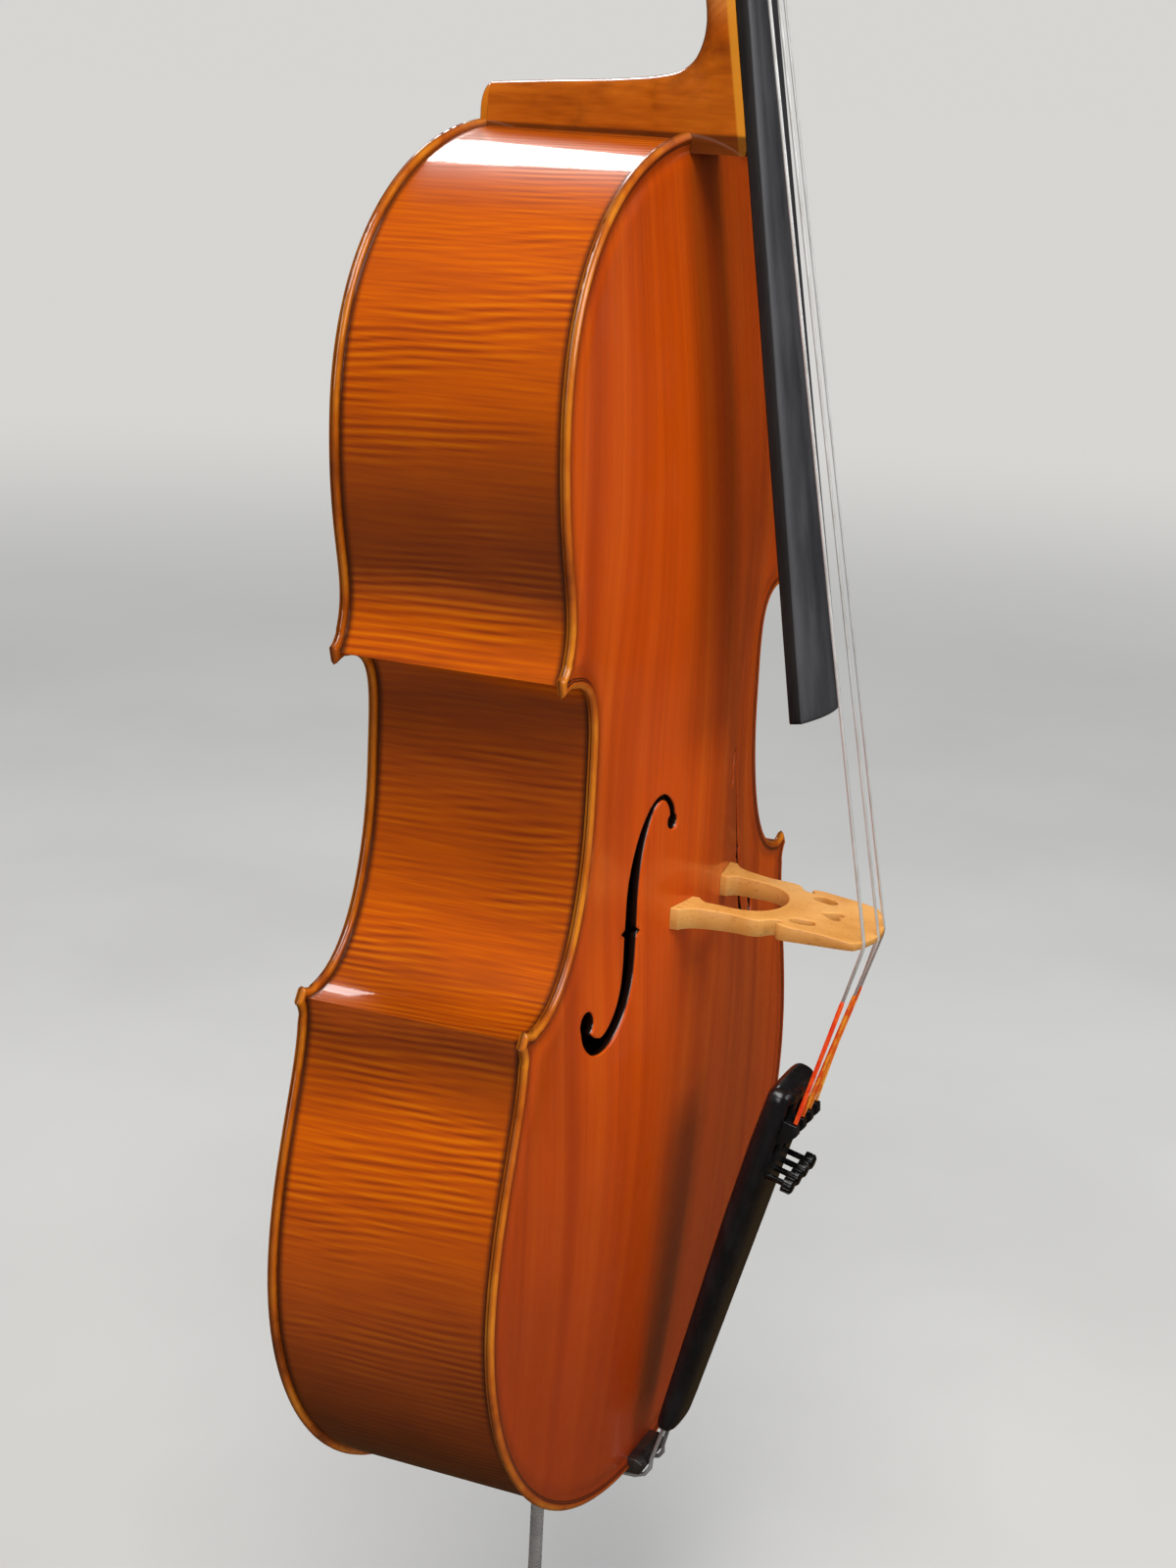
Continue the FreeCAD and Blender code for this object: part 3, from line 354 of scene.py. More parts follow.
def f_hole(side):
    """Areas of one f-hole: the long slot with its two nicks and the two round eyes."""
    upper_outer = smooth_line([(42, 405), (43.8, 413.5), (49.5, 419.8), (56, 421.5), (63, 418), (70.5, 408.5),
                               (77.5, 394), (83, 376), (85.9, 355.5)])
    lower_outer = smooth_line([(86.6, 351.5), (88.3, 338), (91, 326), (96, 315.5), (103, 307.8),
                               (109.5, 304.3), (115, 305.5)])
    lower_inner = smooth_line([(128.6, 313), (126.5, 304.5), (121, 298.3), (114, 295.6), (106, 296.2),
                               (97.5, 300.3), (89.5, 307.5), (82.7, 317.5), (78.3, 330), (75.3, 350)])
    upper_inner = smooth_line([(75, 354), (73.6, 369), (71.2, 384), (67.7, 398), (63, 410), (59, 416.3),
                               (55, 418.3), (51.5, 416.7), (48.8, 412.5), (48, 408)])
    slot = np.vstack([even(upper_outer, 1.6), [(89.3, 353.5)], even(lower_outer, 1.6), [(122, 312)],
                      even(lower_inner, 1.6), [(72, 352)], even(upper_inner, 1.6)])
    turn = np.linspace(0, 2 * math.pi, 28, endpoint=False)
    circle = np.stack([np.cos(turn), np.sin(turn)], 1)
    areas = [slot, circle * 4.6 + (45.5, 405.2), circle * 6.9 + (122, 314.5)]
    return [a * np.array([side, 1.0]) for a in areas]


def mesh_area(fixed_loops, loose_points, keep):
    """Triangles over a flat area; fixed loops become edges, keep() picks the triangles wanted."""
    points = []
    edges = []
    for loop in fixed_loops:
        start = len(points)
        points += [tuple(p) for p in loop]
        count = len(loop)
        edges += [(start + k, start + (k + 1) % count) for k in range(count)]
    points += [tuple(p) for p in loose_points]
    verts, made, faces = delaunay_2d_cdt([Vector(p) for p in points], edges, [], 0, 1e-5)[:3]
    verts = np.array([(v.x, v.y) for v in verts])
    faces = np.array([f for f in faces if len(f) == 3])
    centres = verts[faces].mean(1)
    faces = faces[keep(centres)]
    a, b, c = verts[faces[:, 0]], verts[faces[:, 1]], verts[faces[:, 2]]
    area = (b[:, 0] - a[:, 0]) * (c[:, 1] - a[:, 1]) - (b[:, 1] - a[:, 1]) * (c[:, 0] - a[:, 0])
    faces[area < 0] = faces[area < 0][:, ::-1]
    return verts, faces[np.abs(area) > 1e-9]


def border_edges(faces):
    """Edges used by one triangle only, in that triangle's direction."""
    seen = {}
    for f in faces:
        for a, b in ((f[0], f[1]), (f[1], f[2]), (f[2], f[0])):
            if (b, a) in seen:
                del seen[(b, a)]
            else:
                seen[(a, b)] = True
    return list(seen)


def plate(name, front, material, replaces):
    """Arched plate: outer and inner skins joined round the rim and round the f-holes."""
    loops = [OUTLINE]
    holes = []
    if front:
        holes = f_hole(-1) + f_hole(1)
        loops += holes
    normals = inward(OUTLINE)
    rings = []
    for d in (0.12, 0.45, 0.95, 1.6, 2.2, 2.8, 3.5, 4.2, 4.8, 5.4, 6.2, 7.2, 8.4, 9.8, 11.5, 13.5, 16.0, 19.0, 22.5):
        ring = OUTLINE + normals * d
        far = distance_to(ring, OUTLINE) > d - 0.03
        rings.append(ring[far & inside(ring, OUTLINE)])
    gx, gz = np.meshgrid(np.arange(-216, 217, 5.5), np.arange(4, 752, 5.5))
    gx = gx + 2.75 * (np.round((gz - 4) / 5.5) % 2)
    inner = np.stack([gx.ravel(), gz.ravel()], 1)
    inner = inner[inside(inner, OUTLINE)]
    inner = inner[distance_to(inner, OUTLINE) > 25.0]
    loose = np.vstack(rings + [inner])
    if front:
        near = []
        for hole in holes:
            step = inward(hole)
            for d in (0.7, 2.0, 4.0):
                near += [hole - step * d, hole + step * d]
        near = np.vstack(near)
        open_area = np.zeros(len(near), bool)
        gap = np.full(len(near), 1e9)
        for hole in holes:
            open_area |= inside(near, hole)
            gap = np.minimum(gap, distance_to(near, hole))
        near = near[~open_area & (gap > 0.55)]
        clear = np.full(len(loose), 1e9)
        for hole in holes:
            clear = np.minimum(clear, distance_to(loose, hole))
            clear[inside(loose, hole)] = 0
        loose = np.vstack([loose[clear > 4.6], near])

    def keep(centres):
        wanted = inside(centres, OUTLINE)
        for hole in holes:
            wanted &= ~inside(centres, hole)
        return wanted

    flat, faces = mesh_area(loops, loose, keep)
    d = distance_to(flat, OUTLINE)
    rise = TOP_RISE if front else BACK_RISE
    shape = edge_shape(d)
    gap = np.full(len(flat), 500.0)
    for hole in holes:
        gap = np.minimum(gap, distance_to(flat, hole))
    lip = -0.2 * np.clip(1 - gap / 0.7, 0, 1) ** 2
    height = RIB_HALF + PLATE + arch(flat[:, 0], flat[:, 1], rise) + shape + lip
    k = np.clip((2.6 - d) / 2.6, 0, 1)
    under = RIB_HALF + arch(flat[:, 0], flat[:, 1], rise) + 2.25 * (1 - np.sqrt(np.maximum(0, 1 - k * k)))
    lean = tilt(flat[:, 1])
    if front:
        outer = np.stack([flat[:, 0], lean - height, flat[:, 1]], 1)
        inner_skin = np.stack([flat[:, 0], lean - under, flat[:, 1]], 1)
    else:
        outer = np.stack([flat[:, 0], height, flat[:, 1]], 1)
        inner_skin = np.stack([flat[:, 0], under, flat[:, 1]], 1)
    count = len(flat)
    front_faces = faces if front else faces[:, ::-1]
    back_faces = faces[:, ::-1] if front else faces
    walls = []
    for a, b in border_edges(front_faces.tolist()):
        walls.append((a, a + count, b + count, b))
    all_faces = front_faces.tolist() + (back_faces + count).tolist() + walls
    depth = np.r_[np.zeros(count), np.ones(count)]
    flow = np.stack([depth, np.r_[gap, gap], np.r_[d, d]], 1)
    return piece(name, np.vstack([outer, inner_skin]), all_faces, material, replaces=replaces, flow=flow)


def back_button(material):
    """Small rounded tongue of the back that the heel stands on."""
    turn = np.linspace(0, math.pi, 25)
    arc = np.stack([14.0 * np.cos(turn), 759.0 + 14.0 * np.sin(turn)], 1)
    outline = np.vstack([[(14.0, 751.0)], arc, [(-14.0, 751.0)]])
    centre = np.array([0.0, 757.0])
    low, high = RIB_HALF + 0.05, RIB_HALF + PLATE
    verts = []
    flow = []
    for shrink, y in ((0.0, low), (0.0, high - 1.4), (0.4, high - 0.5), (1.3, high - 0.05), (5.0, high)):
        ring = centre + (outline - centre) * (1 - shrink / 14.0)
        verts += [(x, y, z) for x, z in ring]
        flow += [(0, 500, 2.5 + shrink)] * len(ring)
    count = len(outline)
    faces = grid_faces(5, count, close_columns=True, flip=True)
    faces.append(tuple(range(count)))
    faces.append(tuple(range(5 * count - 1, 4 * count - 1, -1)))
    piece("back_button", verts, faces, material, replaces=["back_plate"], sharp=50, flow=flow)


# ======================= ribs =======================
def rib_line(points, distance):
    """One bout of the outline moved inwards, cut off where it would leave the corner."""
    fine = even(points, 0.8)
    along = np.gradient(fine, axis=0)
    along /= np.linalg.norm(along, axis=1)[:, None]
    moved = fine + distance * np.stack([-along[:, 1], along[:, 0]], 1)
    dense = outline_loop(0.9)
    good = distance_to(moved, dense) > distance - 0.04
    return moved[good]


def meet(end_a, before_a, end_b, before_b):
    """Where two straight run-outs cross."""
    da, db = end_a - before_a, end_b - before_b
    matrix = np.array([[da[0], -db[0]], [da[1], -db[1]]])
    s = np.linalg.solve(matrix, end_b - end_a)
    return end_a + da * s[0]


def rib_lines(distance):
    lower, centre, top = (rib_line(p, distance) for p in outline_pieces())
    low = meet(lower[-1], lower[-4], centre[0], centre[3])
    high = meet(centre[-1], centre[-4], top[0], top[3])
    lower = np.vstack([lower, low])
    centre = np.vstack([low, centre, high])
    top = np.vstack([high, top])
    return {"lower": lower, "centre": centre, "upper": top}


def ribs(material):
    outer = rib_lines(OVERHANG)
    inner = rib_lines(OVERHANG + 1.6)
    start = 0.0
    for bout in ("lower", "centre", "upper"):
        a = even(outer[bout], 3.0)
        b = even(inner[bout], 3.0)
        share = np.linspace(0, 1, len(a))
        b = np.stack([np.interp(share, np.linspace(0, 1, len(b)), b[:, k]) for k in (0, 1)], 1)
        run = start + np.r_[0, np.cumsum(np.linalg.norm(np.diff(a, axis=0), axis=1))]
        start = run[-1] + 40
        for side, side_name in ((-1, "bass"), (1, "treble")):
            rows = []
            flow = []
            shares = (0.0, 0.012, 0.04, 0.12, 0.3, 0.5, 0.7, 0.88, 0.96, 0.988, 1.0)
            for share in shares:
                front = -RIB_HALF + tilt(a[:, 1])
                y = front + (RIB_HALF - front) * share
                rows.append(np.stack([side * a[:, 0], y, a[:, 1]], 1))
                margin = np.minimum(y - front, RIB_HALF - y)
                flow.append(np.stack([run + (700 if side < 0 else 0), y, margin], 1))
            for share in (1.0, 0.0):
                front = -RIB_HALF + tilt(b[:, 1])
                y = front + (RIB_HALF - front) * share
                rows.append(np.stack([side * b[:, 0], y, b[:, 1]], 1))
                flow.append(np.stack([run, y, 0 * y - 50], 1))
            faces = grid_faces(len(rows), len(a), close_rows=True, flip=side > 0)
            piece("rib_" + bout + "_" + side_name, np.vstack(rows), faces, material, sharp=50,
                  replaces=["rib_" + bout + "_" + side_name], flow=np.vstack(flow))


# ======================= materials =======================
def shade(r, g, b):
    """Linear colour from an everyday 0-255 colour."""
    out = []
    for c in (r, g, b):
        c = c / 255.0
        out.append(c / 12.92 if c <= 0.04045 else ((c + 0.055) / 1.055) ** 2.4)
    return (*out, 1.0)


class Paint:
    """Small helper for building one node material."""

    def __init__(self, name, owner=None):
        self.material = owner or bpy.data.materials.new(name)
        self.material.use_nodes = True
        self.tree = self.material.node_tree
        self.tree.nodes.clear()

    def node(self, kind, inputs=None, **settings):
        made = self.tree.nodes.new(kind)
        for key, value in settings.items():
            setattr(made, key, value)
        for key, value in (inputs or {}).items():
            socket = made.inputs[key]
            if isinstance(value, bpy.types.NodeSocket):
                self.tree.links.new(value, socket)
            else:
                socket.default_value = value
        return made

    def place(self):
        return self.node("ShaderNodeTexCoord").outputs["Object"]

    def flow(self):
        return self.node("ShaderNodeAttribute", attribute_name="flow").outputs["Vector"]

    def split(self, vector):
        made = self.node("ShaderNodeSeparateXYZ", {0: vector})
        return made.outputs[0], made.outputs[1], made.outputs[2]

    def stretch(self, vector, x, y, z):
        return self.node("ShaderNodeVectorMath", {0: vector, 1: (x, y, z)}, operation="MULTIPLY").outputs[0]

    def shift(self, vector, other):
        return self.node("ShaderNodeVectorMath", {0: vector, 1: other}, operation="ADD").outputs[0]

    def noise(self, vector, scale, detail=3.0, rough=0.5, twist=0.0):
        made = self.node("ShaderNodeTexNoise", {"Vector": vector, "Scale": scale, "Detail": detail,
                                                "Roughness": rough, "Distortion": twist})
        return made.outputs["Fac"]

    def bands(self, value, low, high, out_low=0.0, out_high=1.0):
        made = self.node("ShaderNodeMapRange", {"Value": value, "From Min": low, "From Max": high,
                                                "To Min": out_low, "To Max": out_high},
                         interpolation_type="SMOOTHSTEP")
        return made.outputs[0]

    def sum(self, kind, a, b=0.0, c=0.0):
        return self.node("ShaderNodeMath", {0: a, 1: b, 2: c}, operation=kind).outputs[0]

    def mix(self, share, a, b, how="MIX"):
        made = self.node("ShaderNodeMix", {0: share, 6: a, 7: b}, data_type="RGBA", blend_type=how)
        return made.outputs[2]

    def ramp(self, value, stops):
        made = self.node("ShaderNodeValToRGB", {0: value})
        table = made.color_ramp
        while len(table.elements) < len(stops):
            table.elements.new(0.5)
        for element, (at, colour) in zip(table.elements, stops):
            element.position = at
            element.color = colour
        return made.outputs[0]

    def bump(self, height, strength, distance=0.001, under=None):
        inputs = {"Strength": strength, "Distance": distance, "Height": height}
        if under is not None:
            inputs["Normal"] = under
        return self.node("ShaderNodeBump", inputs).outputs[0]

    def finish(self, **inputs):
        named = {key.replace("_", " "): value for key, value in inputs.items()}
        shader = self.node("ShaderNodeBsdfPrincipled", named)
        self.node("ShaderNodeOutputMaterial", {"Surface": shader.outputs[0]})
        return self.material


def purfling_lines(paint, colour, margin):
    """Three thin inlaid strips, dark, pale, dark, at a fixed distance from the rim."""
    lines = [(4.25, 0.34), (5.35, 0.34)]
    for centre, half in lines:
        off = paint.sum("ABSOLUTE", paint.sum("SUBTRACT", margin, centre))
        share = paint.bands(off, half * 0.55, half * 1.5, 0.93, 0.0)
        colour = paint.mix(share, colour, shade(34, 16, 8))
    return colour


def edge_bead(paint, colour, here, margin):
    """Rounded rim outside the purfling: worn golden, with darker patches and a dark outer line."""
    worn = paint.noise(paint.stretch(here, 30.0, 30.0, 18.0), 1.0, 4, 0.6)
    gold = paint.ramp(worn, [(0.34, shade(118, 50, 8)), (0.48, shade(180, 88, 10)), (0.66, shade(208, 124, 24))])
    colour = paint.mix(paint.bands(margin, 1.6, 4.3, 0.9, 0.0), colour, gold)
    return paint.mix(paint.bands(margin, 0.0, 1.0, 0.55, 0.0), colour, shade(80, 34, 8))


def spruce():
    paint = Paint("spruce varnish")
    here = paint.place()
    x, y, z = paint.split(here)
    depth, gap, margin = paint.split(paint.flow())
    sway = paint.noise(paint.stretch(here, 3.0, 0.0, 1.2), 1.0, 2)
    across = paint.sum("ADD", paint.sum("ABSOLUTE", x), paint.sum("MULTIPLY", sway, 0.006))
    ring_space = paint.node("ShaderNodeCombineXYZ", {0: across, 1: 0.0, 2: paint.sum("MULTIPLY", z, 0.004)}).outputs[0]
    rings = paint.noise(ring_space, 620.0, 2, 0.7)
    broad = paint.noise(ring_space, 75.0, 2, 0.5)
    fibre = paint.noise(paint.stretch(here, 900.0, 20.0, 18.0), 1.0, 3, 0.6)
    colour = paint.ramp(broad, [(0.25, shade(180, 62, 2)), (0.5, shade(200, 74, 2)), (0.75, shade(210, 86, 4))])
    colour = paint.mix(paint.bands(rings, 0.52, 0.72, 0.0, 0.42), colour, shade(140, 46, 6))
    colour = paint.mix(paint.bands(fibre, 0.55, 0.8, 0.0, 0.16), colour, shade(230, 140, 40))
    low = paint.bands(z, 0.26, 0.62, 0.75, 0.0)
    colour = paint.mix(low, colour, shade(148, 42, 2))
    stain = paint.noise(paint.stretch(here, 5.0, 5.0, 3.0), 1.0, 3, 0.55)
    colour = paint.mix(paint.bands(stain, 0.5, 0.75, 0.0, 0.45), colour, shade(132, 44, 6))
    colour = paint.mix(paint.bands(margin, 6.0, 14.0, 0.35, 0.0), colour, shade(96, 36, 8))
    colour = edge_bead(paint, colour, here, margin)
    colour = purfling_lines(paint, colour, margin)
    # f-hole walls drawn near black: partly dark-stained wood, partly painted shade inside the cut
    cut = paint.sum("MULTIPLY", paint.bands(depth, 0.10, 0.28), paint.bands(gap, 0.5, 3.0, 1.0, 0.0))
    colour = paint.mix(cut, colour, shade(30, 14, 8))
    rub = paint.noise(paint.stretch(here, 40.0, 40.0, 40.0), 1.0, 4, 0.65)
    grain_bump = paint.bump(rings, 0.10, 0.0006)
    wave = paint.noise(paint.stretch(here, 14.0, 14.0, 8.0), 1.0, 2, 0.4)
    soft_bump = paint.bump(wave, 0.10, 0.004, grain_bump)
    return paint.finish(Base_Color=colour, Roughness=paint.bands(rub, 0.3, 0.8, 0.34, 0.5), Normal=grain_bump,
                        Coat_Weight=0.75, Coat_Roughness=paint.bands(rub, 0.35, 0.8, 0.10, 0.24),
                        Coat_Normal=soft_bump, Coat_IOR=1.5, Specular_IOR_Level=0.12)


def flame(paint, run, across, seed, period=0.0047):
    """Curly figure: soft, slightly wandering stripes that cross the grain, stronger in places."""
    place = paint.node("ShaderNodeCombineXYZ", {0: run, 1: paint.sum("MULTIPLY", across, 0.3), 2: seed}).outputs[0]
    wander = paint.noise(place, 30.0, 1, 0.5)
    patch = paint.noise(place, 24.0, 2, 0.55)
    fine = paint.noise(paint.stretch(place, 620.0, 60.0, 1.0), 1.0, 2, 0.5)
    slant = paint.sum("ADD", run, paint.sum("MULTIPLY", across, 0.08))
    phase = paint.sum("ADD", paint.sum("MULTIPLY", slant, 2 * math.pi / period), paint.sum("MULTIPLY", wander, 16.0))
    strength = paint.bands(patch, 0.38, 0.66, 0.04, 0.36)
    wave = paint.sum("MULTIPLY", paint.sum("SINE", phase), strength)
    return paint.sum("ADD", wave, paint.bands(fine, 0.25, 0.75, 0.3, 0.7))


def maple_look(paint, run, across, seed, period=0.0047):
    figure = flame(paint, run, across, seed, period)
    colour = paint.ramp(figure, [(0.06, shade(146, 56, 2)), (0.35, shade(178, 74, 2)), (0.6, shade(194, 86, 2)),
                                 (0.94, shade(212, 108, 5))])
    return colour, figure


def maple_coat(paint, colour, figure, here, gloss=0.95):
    rub = paint.noise(paint.stretch(here, 30.0, 30.0, 30.0), 1.0, 4, 0.65)
    pores = paint.noise(paint.stretch(here, 700.0, 700.0, 90.0), 1.0, 2, 0.6)
    tiny = paint.bump(pores, 0.05, 0.0004)
    wave = paint.noise(paint.stretch(here, 16.0, 16.0, 16.0), 1.0, 2, 0.4)
    coat = paint.bump(wave, 0.08, 0.004, tiny)
    return paint.finish(Base_Color=colour, Roughness=paint.bands(figure, 0.3, 0.75, 0.42, 0.30), Normal=tiny,
                        Coat_Weight=gloss, Coat_Roughness=paint.bands(rub, 0.35, 0.8, 0.03, 0.10),
                        Coat_Normal=coat, Coat_IOR=1.5, Specular_IOR_Level=0.12)


# Painted shade up the ribs: share of the dark rib colour at each height in metres, darker where the ribs turn away from
# the overhead light.
RIB_SHADE_BY_HEIGHT = [(0.26, 0.9), (0.343, 0.92), (0.39, 0.72), (0.43, 0.5), (0.472, 0.2), (0.529, 0.08), (0.555, 0.5),
            (0.572, 0.68), (0.59, 0.35), (0.613, 0.0), (0.64, 0.15), (0.691, 0.3), (0.72, 0.55), (0.738, 0.7),
            (0.756, 0.4), (0.768, 0.0), (0.785, 0.2), (0.804, 0.72), (0.83, 0.66), (0.857, 0.45), (0.89, 0.08),
            (0.93, 0.0)]


def rib_maple():
    """Rib wood: figure runs straight across the ribs, with painted shade along both plates and painted shade by height
    up the ribs.
    """
    paint = Paint("rib maple varnish")
    here = paint.place()
    run, across, margin = paint.split(paint.flow())
    metres = paint.sum("MULTIPLY", run, 0.001)
    wide = paint.sum("MULTIPLY", across, 0.001)
    colour, figure = maple_look(paint, metres, wide, 0.3)
    x, y, z = paint.split(here)
    slow = paint.noise(paint.stretch(here, 4.0, 4.0, 7.0), 1.0, 3, 0.5)
    colour = paint.mix(paint.bands(slow, 0.42, 0.72, 0.0, 0.45), colour, shade(134, 52, 2))
    drift = paint.noise(paint.stretch(here, 14.0, 14.0, 9.0), 1.0, 3, 0.55)
    height = paint.sum("ADD", z, paint.sum("MULTIPLY", paint.sum("SUBTRACT", drift, 0.5), 0.035))
    # painted shade: ribs darkened in bands by height, from the table of painted shade above
    share = paint.ramp(paint.sum("MULTIPLY", paint.sum("SUBTRACT", height, 0.26), 1 / 0.76),
                       [((at - 0.26) / 0.76, (dark, dark, dark, 1)) for at, dark in RIB_SHADE_BY_HEIGHT])
    colour = paint.mix(share, colour, shade(66, 22, 4))
    # painted shade: dark band on the rib just under each plate's overhanging edge
    colour = paint.mix(paint.bands(margin, 0.6, 4.5, 0.88, 0.0), colour, shade(46, 20, 8))
    speck = paint.noise(paint.stretch(here, 300.0, 300.0, 300.0), 1.0, 3, 0.7)
    zone = paint.noise(paint.stretch(here, 9.0, 9.0, 9.0), 1.0, 2, 0.5)
    dots = paint.sum("MULTIPLY", paint.bands(speck, 0.66, 0.72), paint.bands(zone, 0.58, 0.7))
    colour = paint.mix(paint.sum("MULTIPLY", dots, 0.5), colour, shade(52, 26, 12))
    return maple_coat(paint, colour, figure, here, paint.bands(z, 0.60, 0.66, 0.4, 0.95))


def back_maple():
    """Two-piece back: figure slopes down from the centre joint on both halves."""
    paint = Paint("back maple varnish")
    here = paint.place()
    x, y, z = paint.split(here)
    depth, gap, margin = paint.split(paint.flow())
    side = paint.sum("ABSOLUTE", x)
    run = paint.sum("ADD", z, paint.sum("MULTIPLY", side, 0.32))
    colour, figure = maple_look(paint, run, side, 1.7, 0.0085)
    joint = paint.bands(side, 0.0003, 0.0009, 0.6, 0.0)
    colour = paint.mix(joint, colour, shade(70, 30, 10))
    slow = paint.noise(paint.stretch(here, 5.0, 5.0, 4.0), 1.0, 3, 0.5)
    colour = paint.mix(paint.bands(slow, 0.45, 0.75, 0.0, 0.5), colour, shade(126, 48, 6))
    colour = paint.mix(paint.bands(margin, 6.0, 14.0, 0.35, 0.0), colour, shade(90, 34, 8))
    colour = edge_bead(paint, colour, here, margin)
    colour = purfling_lines(paint, colour, margin)
    return maple_coat(paint, colour, figure, here)


def neck_maple():
    """Neck and scroll: plain worn heel, rubbed neck and faintly figured head."""
    paint = Paint("neck maple varnish")
    here = paint.place()
    x, y, z = paint.split(here)
    run = paint.sum("ADD", z, paint.sum("MULTIPLY", y, 0.8))
    colour, figure = maple_look(paint, run, x, 4.1, 0.006)
    colour = paint.mix(0.6, colour, shade(184, 84, 8))
    grain = paint.noise(paint.stretch(here, 160.0, 22.0, 160.0), 1.0, 3, 0.55)
    plain = paint.ramp(grain, [(0.3, shade(146, 66, 6)), (0.5, shade(172, 84, 10)), (0.72, shade(192, 100, 18))])
    colour = paint.mix(paint.bands(z, 1.045, 1.085, 1.0, 0.0), colour, plain)
    bare = paint.sum("MULTIPLY", paint.bands(z, 1.060, 1.100), paint.bands(z, 1.290, 1.275))
    bare_wood = paint.mix(paint.bands(figure, 0.2, 0.8), shade(204, 148, 76), shade(220, 168, 96))
    colour = paint.mix(paint.sum("MULTIPLY", bare, 0.8), colour, bare_wood)
    dirt = paint.noise(paint.stretch(here, 26.0, 26.0, 26.0), 1.0, 4, 0.6)
    colour = paint.mix(paint.bands(dirt, 0.5, 0.8, 0.0, 0.6), colour, shade(90, 36, 8))
    along = paint.sum("MULTIPLY", paint.sum("SUBTRACT", y, GLUE_Y * 0.001), -math.sin(NECK_ANGLE))
    rise = paint.sum("MULTIPLY", paint.sum("SUBTRACT", z, (NUT_Z + LIFT) * 0.001), math.cos(NECK_ANGLE))
    under_board = paint.sum("ADD", along, rise)
    strip = paint.sum("MULTIPLY", paint.bands(under_board, -0.0052, -0.0036), paint.bands(z, 1.29, 1.285))
    colour = paint.mix(paint.sum("MULTIPLY", strip, 0.75), colour, shade(216, 142, 40))
    colour = paint.mix(paint.bands(z, 1.0125, 1.0145, 0.75, 0.0), colour, shade(52, 22, 8))
    return maple_coat(paint, colour, figure, here)


def bare_maple():
    """Unvarnished bridge maple with short dark rays, and painted shade on its edge and hole walls."""
    paint = Paint("bridge maple")
    here = paint.place()
    flakes = paint.noise(paint.stretch(here, 900.0, 220.0, 900.0), 1.0, 2, 0.6)
    cloud = paint.noise(here, 28.0, 4, 0.55)
    colour = paint.ramp(cloud, [(0.3, shade(204, 138, 58)), (0.55, shade(220, 158, 78)), (0.8, shade(230, 176, 98))])
    colour = paint.mix(paint.bands(flakes, 0.6, 0.72, 0.0, 0.55), colour, shade(140, 78, 26))
    # painted shade: the bridge's edge and hole walls, which face neither front nor back, drawn darker
    facing = paint.split(paint.node("ShaderNodeNewGeometry").outputs["True Normal"])[2]
    cut = paint.bands(paint.sum("ABSOLUTE", facing), 0.3, 0.7, 0.3, 0.0)
    colour = paint.mix(cut, colour, shade(132, 76, 26))
    pull = paint.bump(flakes, 0.12, 0.0004)
    return paint.finish(Base_Color=colour, Roughness=paint.bands(cloud, 0.3, 0.8, 0.42, 0.58), Normal=pull,
                        Specular_IOR_Level=0.4, Subsurface_Weight=0.04, Subsurface_Radius=(0.01, 0.005, 0.002))


def inner_wood():
    paint = Paint("bare inner wood")
    here = paint.place()
    lines = paint.noise(paint.stretch(here, 500.0, 500.0, 12.0), 1.0, 3, 0.6)
    colour = paint.ramp(lines, [(0.3, shade(164, 120, 72)), (0.7, shade(204, 164, 112))])
    return paint.finish(Base_Color=colour, Roughness=paint.bands(lines, 0.2, 0.8, 0.7, 0.85),
                        Normal=paint.bump(lines, 0.2, 0.0005))


def ebony(name, low, high, rough_low, rough_high, coat=0.0):
    """Black hardwood with fine brown pores running up its length."""
    paint = Paint(name)
    here = paint.place()
    pores = paint.noise(paint.stretch(here, 1300.0, 900.0, 26.0), 1.0, 3, 0.6)
    cloud = paint.noise(paint.stretch(here, 60.0, 60.0, 12.0), 1.0, 4, 0.6)
    colour = paint.mix(paint.bands(cloud, 0.3, 0.75), shade(*low), shade(*high))
    colour = paint.mix(paint.bands(pores, 0.58, 0.74, 0.0, 0.5), colour, shade(70, 62, 58))
    return paint.finish(Base_Color=colour, Roughness=paint.bands(cloud, 0.3, 0.75, rough_low, rough_high),
                        Normal=paint.bump(pores, 0.12, 0.0004), Coat_Weight=coat, Coat_Roughness=0.15,
                        Specular_IOR_Level=0.5)


def board_ebony():
    """Fingerboard: grey playing surface, worn by the hand and painted lighter as lit; sides painted darker as in shade.
    """
    paint = Paint("fingerboard ebony")
    here = paint.place()
    run, across, level = paint.split(paint.flow())
    pores = paint.noise(paint.stretch(here, 1300.0, 900.0, 26.0), 1.0, 3, 0.6)
    cloud = paint.noise(paint.stretch(here, 60.0, 60.0, 12.0), 1.0, 4, 0.6)
    # painted light and shade: the playing surface is a lighter, lit copy of the ebony and the sides a darker, shaded
    # copy
    top = paint.mix(paint.bands(cloud, 0.3, 0.75), shade(46, 46, 50), shade(66, 65, 68))
    flank = paint.mix(paint.bands(cloud, 0.3, 0.75), shade(16, 14, 14), shade(28, 24, 23))
    # mask of the playing surface over the sides, carrying both the wear and the painted light and shade
    worn = paint.bands(level, 6.2, 6.6)
    colour = paint.mix(worn, flank, top)
    colour = paint.mix(paint.bands(pores, 0.58, 0.74, 0.0, 0.4), colour, shade(58, 52, 50))
    shine = paint.bands(level, 6.2, 6.6, 0.22, 0.5)
    return paint.finish(Base_Color=colour, Roughness=paint.bands(cloud, 0.3, 0.75, 0.42, 0.54),
                        Normal=paint.bump(pores, 0.12, 0.0004), Specular_IOR_Level=shine)


